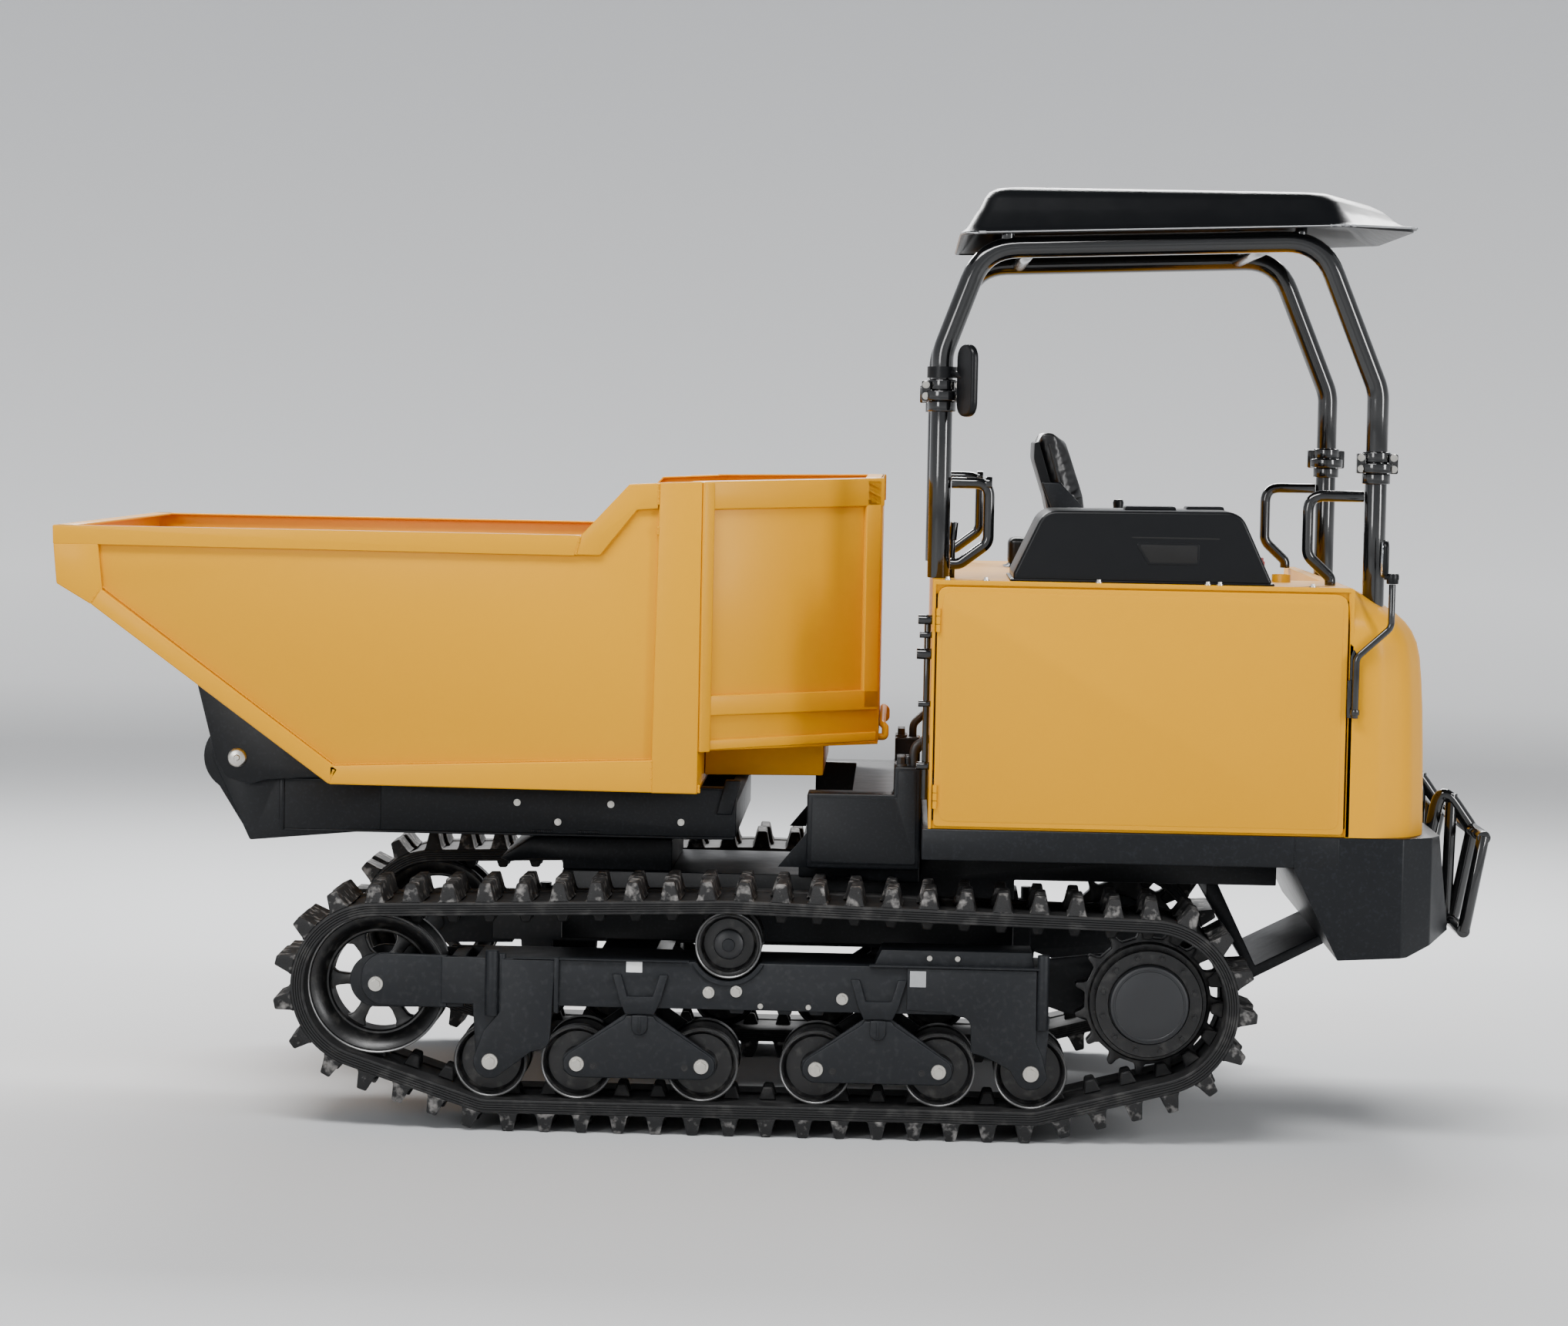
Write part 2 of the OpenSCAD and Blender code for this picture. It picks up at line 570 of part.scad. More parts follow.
mirror_front();
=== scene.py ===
import math
import random

import bmesh
import bpy
from mathutils import Matrix, Vector


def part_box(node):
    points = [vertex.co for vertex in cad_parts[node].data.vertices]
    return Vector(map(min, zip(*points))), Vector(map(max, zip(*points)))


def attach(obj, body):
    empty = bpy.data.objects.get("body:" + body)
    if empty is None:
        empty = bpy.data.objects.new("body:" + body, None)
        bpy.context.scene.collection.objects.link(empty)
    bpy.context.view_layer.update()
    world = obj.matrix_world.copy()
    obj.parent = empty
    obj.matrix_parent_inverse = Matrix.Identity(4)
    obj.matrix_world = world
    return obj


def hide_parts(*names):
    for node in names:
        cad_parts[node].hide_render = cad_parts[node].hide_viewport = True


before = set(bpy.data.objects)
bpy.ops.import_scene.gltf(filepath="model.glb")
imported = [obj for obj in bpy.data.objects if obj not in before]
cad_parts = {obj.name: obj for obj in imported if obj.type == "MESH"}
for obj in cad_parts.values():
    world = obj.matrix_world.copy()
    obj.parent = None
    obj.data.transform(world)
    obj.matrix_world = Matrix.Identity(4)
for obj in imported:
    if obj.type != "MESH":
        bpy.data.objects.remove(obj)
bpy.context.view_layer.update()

# ---------------------------------------------------------------- studio and camera
# The machine stands on a pale seamless floor that curves up all round into a wall. Floor and wall
# glow with painted light: none near the machine, brightest where the floor curves up, dimmer up the
# wall. Soft boxes hang over it, and the camera looks across the right-hand side from eye height.
def lamp(name, place, aim, size, watts):
    light = bpy.data.lights.new(name, "AREA")
    light.shape = "RECTANGLE"
    light.size, light.size_y = size
    light.energy = watts
    holder = bpy.data.objects.new(name, light)
    holder.location = place
    holder.rotation_euler = (Vector(aim) - Vector(place)).to_track_quat("-Z", "Y").to_euler()
    bpy.context.scene.collection.objects.link(holder)


camera_data = bpy.data.cameras.new("camera")
camera_data.sensor_width = 36
camera_data.lens = 97.5
camera = bpy.data.objects.new("camera", camera_data)
bpy.context.scene.collection.objects.link(camera)
camera.location = (0.317, -11.325, 1.790)
yaw_left, pitch_down, roll = math.radians(1.6), math.radians(3.28), math.radians(1.1)
camera.matrix_world = (Matrix.Translation(camera.location) @ Matrix.Rotation(yaw_left, 4, "Z")
                       @ Matrix.Rotation(math.pi / 2 - pitch_down, 4, "X")
                       @ Matrix.Rotation(roll, 4, "Z"))
camera_data.clip_end = 200
bpy.context.scene.camera = camera

floor_mesh = bmesh.new()
strip = [floor_mesh.verts.new((r, 0, 0)) for r in (0, 17)]
floor_mesh.edges.new(strip)
bmesh.ops.spin(floor_mesh, geom=[strip[1]], cent=(17, 0, 6), axis=(0, -1, 0), steps=12,
               angle=math.radians(90), use_merge=False)
top = max(floor_mesh.verts, key=lambda v: v.co.z)
rise = bmesh.ops.extrude_vert_indiv(floor_mesh, verts=[top])["verts"]
bmesh.ops.translate(floor_mesh, verts=rise, vec=(0, 0, 12))
bmesh.ops.spin(floor_mesh, geom=floor_mesh.verts[:] + floor_mesh.edges[:], axis=(0, 0, 1),
               steps=72, angle=math.radians(360), use_merge=True)
bmesh.ops.remove_doubles(floor_mesh, verts=floor_mesh.verts, dist=1e-4)
bmesh.ops.recalc_face_normals(floor_mesh, faces=floor_mesh.faces)
floor_data = bpy.data.meshes.new("studio_floor")
floor_mesh.to_mesh(floor_data)
floor_mesh.free()
floor_data.shade_smooth()
studio_floor = bpy.data.objects.new("studio_floor", floor_data)
bpy.context.scene.collection.objects.link(studio_floor)
pale = bpy.data.materials.new("studio_paper_painted_glow")
pale.use_nodes = True
pale.node_tree.nodes["Principled BSDF"].inputs["Base Color"].default_value = (0.60, 0.61, 0.62, 1)
pale.node_tree.nodes["Principled BSDF"].inputs["Roughness"].default_value = 0.75
# Painted light: the paper glows through its emission, none near the machine, brightest at the foot
# of the curve and dimmer higher up the wall.
painted_backdrop_light = pale.node_tree.nodes.new("ShaderNodeValToRGB")
painted_backdrop_light.color_ramp.elements[0].color = (0, 0, 0, 1)
painted_backdrop_light.color_ramp.elements[1].color = (0.30, 0.305, 0.32, 1)
for reach, level in ((0.20, 0.0), (0.52, 0.62), (0.70, 0.92)):
    step = painted_backdrop_light.color_ramp.elements.new(reach)
    step.color = (level * 0.985, level * 0.99, level, 1)
reach = pale.node_tree.nodes.new("ShaderNodeMapRange")
reach.inputs["From Max"].default_value = 29.0
split = pale.node_tree.nodes.new("ShaderNodeSeparateXYZ")
flat = pale.node_tree.nodes.new("ShaderNodeVectorMath")
flat.operation = "MULTIPLY"
flat.inputs[1].default_value = (1, 1, 0)
radius = pale.node_tree.nodes.new("ShaderNodeVectorMath")
radius.operation = "LENGTH"
climb = pale.node_tree.nodes.new("ShaderNodeMath")
where = pale.node_tree.nodes.new("ShaderNodeTexCoord")
for source, target in ((where.outputs["Object"], split.inputs["Vector"]),
                       (where.outputs["Object"], flat.inputs[0]),
                       (flat.outputs["Vector"], radius.inputs[0]),
                       (radius.outputs["Value"], climb.inputs[0]),
                       (split.outputs["Z"], climb.inputs[1]),
                       (climb.outputs["Value"], reach.inputs["Value"]),
                       (reach.outputs["Result"], painted_backdrop_light.inputs["Fac"]),
                       (painted_backdrop_light.outputs["Color"],
                        pale.node_tree.nodes["Principled BSDF"].inputs["Emission Color"])):
    pale.node_tree.links.new(source, target)
pale.node_tree.nodes["Principled BSDF"].inputs["Emission Strength"].default_value = 0.80
floor_data.materials.append(pale)

lamp("key_above", (-1.5, -4.0, 6.5), (0, 0, 0.8), (5.0, 1.6), 520)
lamp("fill_front", (-4.5, -9.0, 3.2), (-0.2, 0, 1.0), (2.6, 2.6), 210)
lamp("rim_behind", (0.0, 5.5, 5.5), (0, 0.6, 0.4), (8.0, 1.6), 1300)
lamp("side_front", (6.0, -4.5, 2.8), (1.2, 0, 1.0), (1.2, 3.0), 210)
world = bpy.data.worlds.new("studio")
world.use_nodes = True
world.node_tree.nodes["Background"].inputs["Color"].default_value = (0.78, 0.80, 0.83, 1)
world.node_tree.nodes["Background"].inputs["Strength"].default_value = 0.08
bpy.context.scene.world = world

# ---------------------------------------------------------------- rubber belts
# Endless moulded rubber belts with steel cords inside: a flat band with moulded laminate lines
# on its edges, tread lugs in two halves outside and pairs of guide horns inside.
def finish(name, base, rough, grain=None, speckle=None, metal=0.0, coat=0.0, spec=0.5,
           blotch=0.0, blotch_size=6.0, coat_rough=0.1):
    """A procedural finish: colour drift, fine bump and uneven gloss on object coordinates."""
    material = bpy.data.materials.new(name)
    material.use_nodes = True
    tree = material.node_tree
    shader = tree.nodes["Principled BSDF"]
    shader.inputs["Metallic"].default_value = metal
    shader.inputs["Coat Weight"].default_value = coat
    shader.inputs["Coat Roughness"].default_value = coat_rough
    shader.inputs["Specular IOR Level"].default_value = spec
    where = tree.nodes.new("ShaderNodeTexCoord")

    def noise(scale, detail=4.0):
        node = tree.nodes.new("ShaderNodeTexNoise")
        node.inputs["Scale"].default_value = scale
        node.inputs["Detail"].default_value = detail
        tree.links.new(where.outputs["Object"], node.inputs["Vector"])
        return node.outputs["Fac"]

    drift = tree.nodes.new("ShaderNodeMix")
    drift.data_type = "RGBA"
    drift.inputs["A"].default_value = (*[c * (1 - blotch) for c in base], 1)
    drift.inputs["B"].default_value = (*[min(1, c * (1 + blotch)) for c in base], 1)
    tree.links.new(noise(blotch_size), drift.inputs["Factor"])
    colour = drift.outputs["Result"]
    if speckle:
        tint, amount, size = speckle
        mask = tree.nodes.new("ShaderNodeMapRange")
        mask.inputs["From Min"].default_value = 0.52
        mask.inputs["From Max"].default_value = 0.72
        mask.inputs["To Max"].default_value = amount
        tree.links.new(noise(size, 8.0), mask.inputs["Value"])
        dust = tree.nodes.new("ShaderNodeMix")
        dust.data_type = "RGBA"
        dust.inputs["B"].default_value = (*tint, 1)
        tree.links.new(mask.outputs["Result"], dust.inputs["Factor"])
        tree.links.new(colour, dust.inputs["A"])
        colour = dust.outputs["Result"]
    tree.links.new(colour, shader.inputs["Base Color"])
    gloss = tree.nodes.new("ShaderNodeMapRange")
    gloss.inputs["To Min"].default_value = rough[0]
    gloss.inputs["To Max"].default_value = rough[1]
    tree.links.new(noise(22.0), gloss.inputs["Value"])
    tree.links.new(gloss.outputs["Result"], shader.inputs["Roughness"])
    if grain:
        size, strength, depth = grain
        bump = tree.nodes.new("ShaderNodeBump")
        bump.inputs["Strength"].default_value = strength
        bump.inputs["Distance"].default_value = depth
        tree.links.new(noise(size, 2.0), bump.inputs["Height"])
        tree.links.new(bump.outputs["Normal"], shader.inputs["Normal"])
    return material


def place(name, mesh, body, material, slot, replaces=(), crease=32):
    """Makes a piece of a bmesh, with its place in its mesh, and puts it on a body."""
    data = bpy.data.meshes.new(name)
    mesh.to_mesh(data)
    mesh.free()
    data.materials.append(material)
    data.shade_smooth()
    data.set_sharp_from_angle(angle=math.radians(crease))
    made = bpy.data.objects.new(name, data)
    bpy.context.scene.collection.objects.link(made)
    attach(made, body)
    if replaces:
        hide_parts(*replaces)
    return made


def verts_of(result):
    return [g for g in result["geom"] if isinstance(g, bmesh.types.BMVert)]


def add(target, other):
    """Moves all of one bmesh into another."""
    held = bpy.data.meshes.new("held")
    other.to_mesh(held)
    other.free()
    target.from_mesh(held)
    bpy.data.meshes.remove(held)
    return target


def slab(outline, near, far, soft=0.003, steps=2):
    """A plate: an outline in X and Z, made solid from near to far in Y, its edges eased."""
    mesh = bmesh.new()
    face = mesh.faces.new([mesh.verts.new((x, near, z)) for x, z in outline])
    out = bmesh.ops.extrude_face_region(mesh, geom=[face])
    bmesh.ops.translate(mesh, verts=verts_of(out), vec=(0, far - near, 0))
    bmesh.ops.recalc_face_normals(mesh, faces=mesh.faces)
    if soft:
        rims = [e for e in mesh.edges if e.calc_face_angle(0) > math.radians(20)]
        bmesh.ops.bevel(mesh, geom=rims, offset=soft, offset_type="OFFSET", segments=steps,
                        profile=0.5, affect="EDGES", clamp_overlap=True, material=-1)
    return mesh


def rounded(outline, radius, steps=5):
    """An outline with its corners rounded; a radius for each corner, or one for all."""
    radii = radius if isinstance(radius, list) else [radius] * len(outline)
    made = []
    for i, corner in enumerate(outline):
        b, r = Vector(corner), radii[i]
        a, c = Vector(outline[i - 1]), Vector(outline[(i + 1) % len(outline)])
        if r <= 0:
            made.append(tuple(b))
            continue
        back, on = (a - b).normalized(), (c - b).normalized()
        cut = min(r / math.tan(back.angle(on) / 2), (a - b).length * 0.48, (c - b).length * 0.48)
        for k in range(steps + 1):
            t = k / steps
            made.append(tuple((1 - t) ** 2 * (b + back * cut) + 2 * t * (1 - t) * b
                              + t * t * (b + on * cut)))
    return made


def mirrored(mesh):
    """The same bmesh on the other side of the machine."""
    bmesh.ops.scale(mesh, vec=(1, -1, 1), verts=mesh.verts)
    bmesh.ops.reverse_faces(mesh, faces=mesh.faces)
    return mesh


rubber = finish("track_rubber", (0.0095, 0.0095, 0.010), (0.50, 0.70), grain=(420, 0.35, 0.0012),
                speckle=((0.10, 0.097, 0.093), 0.30, 26.0), blotch=0.25, blotch_size=14, spec=0.35)
lug_rubber = finish("lug_rubber", (0.014, 0.014, 0.0145), (0.55, 0.85), grain=(300, 0.6, 0.002),
                    speckle=((0.26, 0.25, 0.24), 0.80, 42.0), blotch=0.3, blotch_size=20,
                    spec=0.3)
sides = (("right", -1), ("left", 1))
belt_low, belt_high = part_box("track_belt_right")
belt_mid = (belt_low.y + belt_high.y) / 2
belt_width = belt_high.y - belt_low.y
lug_height, belt_thick, lug_count = 0.047, 0.033, 57


def hub(node):
    """Centre and radius of a wheel node, seen from the side."""
    low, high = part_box(node)
    return Vector(((low.x + high.x) / 2, (low.z + high.z) / 2)), (high.z - low.z) / 2


inside = lug_height + belt_thick
path_wheels = [(hub("roller_1_right")[0], hub("roller_1_right")[0].y - inside),
               (hub("roller_6_right")[0], hub("roller_6_right")[0].y - inside),
               (hub("sprocket_right")[0], 0.188), (hub("carrier_roller_right")[0], 0.084),
               (hub("idler_right")[0], 0.177)]


def tangent(a, b):
    """Angle of the outward normal of the belt's straight run from wheel a to wheel b."""
    run = b[0] - a[0]
    return math.atan2(run.y, run.x) - math.acos((a[1] - b[1]) / run.length)


def belt_runs():
    """Each wheel's centre, radius, first angle and wrap, anticlockwise seen from the right."""
    runs = []
    for i, wheel in enumerate(path_wheels):
        before, after = path_wheels[i - 1], path_wheels[(i + 1) % len(path_wheels)]
        first, last = tangent(before, wheel), tangent(wheel, after)
        runs.append((wheel[0], wheel[1], first, (last - first) % (2 * math.pi)))
    return runs


def belt_point(distance, lift):
    """Place and outward angle on the belt's outside, a distance along it from x = 0."""
    runs = belt_runs()
    shape = []
    for i, (centre, radius, first, wrap) in enumerate(runs):
        start = centre + (radius + belt_thick) * Vector((math.cos(first), math.sin(first)))
        nxt = runs[(i + 1) % len(runs)]
        end = centre + (radius + belt_thick) * Vector((math.cos(first + wrap),
                                                       math.sin(first + wrap)))
        to = nxt[0] + (nxt[1] + belt_thick) * Vector((math.cos(nxt[2]), math.sin(nxt[2])))
        shape.append((wrap * (radius + belt_thick), start, centre, radius, first, None))
        shape.append(((to - end).length, end, None, 0, first + wrap, to))
    total = sum(s[0] for s in shape)
    lead = -runs[0][0].x + shape[0][0]
    left = (distance + lead) % total
    for length, start, centre, radius, angle, to in shape:
        if left <= length:
            break
        left -= length
    if centre is not None:
        angle = angle + left / (radius + belt_thick)
        spot = centre + (radius + belt_thick + lift) * Vector((math.cos(angle), math.sin(angle)))
    else:
        spot = start + (to - start) * (left / length)
        spot = spot + lift * Vector((math.cos(angle), math.sin(angle)))
    return spot, angle, total


belt_length = belt_point(0, 0)[2]


def belt_band():
    """The band itself: one cross-section carried round the wheels by spins and extrusions."""
    mesh = bmesh.new()
    half, groove = belt_width / 2, 0.0022
    section = [(half, 0.002)]
    for z in (0.006, 0.012, 0.018, 0.024):
        section += [(half, z), (half - groove, z + 0.0012), (half, z + 0.0026)]
    section += [(half - 0.001, 0.031), (half - 0.003, belt_thick)]
    section += [(0.11, belt_thick), (0.105, belt_thick - 0.004), (-0.105, belt_thick - 0.004),
                (-0.11, belt_thick)]
    section += [(-w, z) for w, z in reversed(section[:15])]
    section += [(-half + 0.002, 0), (-0.062, 0), (-0.058, 0.004), (0.058, 0.004), (0.062, 0),
                (half - 0.002, 0)]
    runs = belt_runs()
    centre, radius, first, wrap = runs[0]
    ring = []
    for w, z in section:
        place_2d = centre + (radius + z) * Vector((math.cos(first), math.sin(first)))
        ring.append(mesh.verts.new((place_2d.x, belt_mid + w, place_2d.y)))
    geom = [mesh.edges.new((ring[i], ring[(i + 1) % len(ring)])) for i in range(len(ring))]
    for i, (centre, radius, first, wrap) in enumerate(runs):
        out = bmesh.ops.spin(mesh, geom=geom + list({v for e in geom for v in e.verts}),
                             cent=(centre.x, 0, centre.y), axis=(0, -1, 0), angle=wrap,
                             steps=max(3, round(wrap / math.radians(5))), use_merge=False)
        geom = [g for g in out["geom_last"] if isinstance(g, bmesh.types.BMEdge)]
        nxt = runs[(i + 1) % len(runs)]
        turn = Vector((math.cos(first + wrap), math.sin(first + wrap)))
        step = (nxt[0] + nxt[1] * turn) - (centre + radius * turn)
        out = bmesh.ops.extrude_edge_only(mesh, edges=geom)
        geom = [g for g in out["geom"] if isinstance(g, bmesh.types.BMEdge)
                and all(v in set(verts_of(out)) for v in g.verts)]
        bmesh.ops.translate(mesh, verts=verts_of(out), vec=(step.x, 0, step.y))
    bmesh.ops.remove_doubles(mesh, verts=mesh.verts, dist=0.0004)
    bmesh.ops.recalc_face_normals(mesh, faces=mesh.faces)
    return mesh


def tread_lug(outer, seed):
    """Half a lug: a tapered bar from the belt's edge to just past its middle."""
    wear = random.Random(seed)
    inner_end = 0.012 if outer < 0 else -0.012
    end = outer * (belt_width / 2 - 0.001)
    tall = lug_height
    mesh = slab([(-0.027, -0.001), (-0.022, 0.004), (-0.0125, tall - 0.001), (0.0125, tall - 0.001),
                 (0.022, 0.004), (0.027, -0.001)], min(end, inner_end), max(end, inner_end),
                soft=0.0028, steps=1)
    for v in mesh.verts:
        along = abs(v.co.y - end) / belt_width
        if v.co.z > 0.02:
            v.co.y -= outer * 0.007 * max(0.0, 1 - along * 9)
            v.co.x += wear.uniform(-0.0009, 0.0009)
        v.co.x += 0.010 * along * (1 if outer < 0 else -1)
    return mesh


def set_on_belt(mesh, distance, lift=0.0):
    spot, angle, _ = belt_point(distance, lift)
    turn = Matrix.Rotation(math.pi / 2 - angle, 4, "Y")
    bmesh.ops.transform(mesh, verts=mesh.verts,
                        matrix=Matrix.Translation((spot.x, belt_mid, spot.y)) @ turn)
    return mesh


pitch = belt_length / lug_count
for side, sign in sides:
    band, lugs, horns = belt_band(), bmesh.new(), bmesh.new()
    for i in range(lug_count):
        add(lugs, set_on_belt(tread_lug(-1, i), i * pitch))
        add(lugs, set_on_belt(tread_lug(1, 100 + i), i * pitch))
        for w in (-0.040, 0.040):
            horn = slab([(-0.022, 0.002), (-0.011, -0.030), (0.011, -0.030), (0.022, 0.002)],
                        w - 0.009, w + 0.009, soft=0.003, steps=1)
            add(horns, set_on_belt(horn, i * pitch, -belt_thick))
    for mesh, part, paint, taken in ((band, "belt_band", rubber, ["track_belt_" + side]),
                                     (lugs, "belt_lugs", lug_rubber, []),
                                     (horns, "belt_horns", rubber, [])):
        if sign > 0:
            mirrored(mesh)
        place(part + "_" + side, mesh, "chassis", paint, "rubber", taken)

# ---------------------------------------------------------------- track wheels
# Cast steel rollers, idlers and carrier rollers on sealed bushes, dipped in black paint, with
# rims polished by the belt. The sprocket bolts to the turning housing of its final drive.
def turned(profile, centre, middle, steps=64):
    """A body of revolution about the Y axis from (radius, width) points."""
    mesh = bmesh.new()
    ring = [mesh.verts.new((centre.x, middle + w, centre.y + r)) for r, w in profile]
    geom = [mesh.edges.new((ring[i], ring[i + 1])) for i in range(len(ring) - 1)]
    if profile[0][0] > 1e-6:
        geom.append(mesh.edges.new((ring[-1], ring[0])))
    bmesh.ops.spin(mesh, geom=ring + geom, cent=(centre.x, middle, centre.y), axis=(0, 1, 0),
                   angle=2 * math.pi, steps=steps, use_merge=True)
    bmesh.ops.remove_doubles(mesh, verts=mesh.verts, dist=1e-5)
    bmesh.ops.recalc_face_normals(mesh, faces=mesh.faces)
    return mesh


def studs(mesh, places, near, reach, height, sides_of=6):
    """Bolt heads with a washer, standing on a face at Y = near and pointing out along -Y."""
    for x, z in places:
        for r, low, high, n in ((reach * 1.55, 0, height * 0.28, 20),
                                (reach, height * 0.28, height, sides_of)):
            head = bmesh.new()
            bmesh.ops.create_cone(head, cap_ends=True, segments=n, radius1=r, radius2=r * 0.94,
                                  depth=high - low)
            bmesh.ops.rotate(head, verts=head.verts,
                             matrix=Matrix.Rotation(math.pi / 2, 3, "X"))
            bmesh.ops.translate(head, verts=head.verts, vec=(x, near - (low + high) / 2, z))
            add(mesh, head)
    return mesh


wheel_paint = finish("wheel_paint", (0.006, 0.006, 0.0065), (0.25, 0.45),
                     grain=(260, 0.25, 0.0008), speckle=((0.09, 0.087, 0.08), 0.4, 40.0),
                     blotch=0.2)
worn_rim = finish("worn_rim", (0.20, 0.20, 0.20), (0.28, 0.5), grain=(500, 0.2, 0.0004),
                  metal=0.85, blotch=0.3, blotch_size=30)
hub_paint = finish("hub_paint", (0.013, 0.014, 0.016), (0.38, 0.5), grain=(700, 0.3, 0.0005),
                   blotch=0.08)
plated = finish("plated_bolt", (0.62, 0.60, 0.55), (0.22, 0.42), grain=(600, 0.3, 0.0003),
                metal=1.0, blotch=0.12, blotch_size=60)


def dished(radius, half, groove, bore, deep, rim):
    """Half profile of a flanged roller: rim outside, dished web, hub round the pin."""
    face = [(bore, half - deep), (bore + 0.016, half - deep), (bore + 0.018, half - deep - 0.004),
            (radius - rim - 0.006, half - deep - 0.006), (radius - rim, half - deep + 0.002),
            (radius - rim + 0.001, half - 0.003), (radius - rim + 0.004, half),
            (radius - 0.006, half), (radius - 0.001, half - 0.003), (radius, half - 0.008),
            (radius, groove + 0.004), (radius - 0.004, groove), (bore + 0.022, groove - 0.003)]
    return face + [(r, -w) for r, w in reversed(face)]


def rim_band(radius, middle, centre, half, width):
    """The bright ring that the belt polishes on a rim's outer corner."""
    return turned([(radius - 0.0055, half + 0.0004), (radius - 0.0015, half - 0.0022),
                   (radius + 0.0003, half - 0.0065), (radius + 0.0003, half - width),
                   (radius - 0.003, half - width), (radius - 0.006, half - 0.002)],
                  centre, middle)


def wheel(node, side, sign, body, meshes):
    """Puts the parts of one wheel on its body; the first stands for the CAD node."""
    for i, (mesh, part, paint) in enumerate(meshes):
        if sign > 0:
            mirrored(mesh)
        place(node + part + "_" + side, mesh, body, paint, "wheel_steel",
              [node + "_" + side] if i == 0 else [])


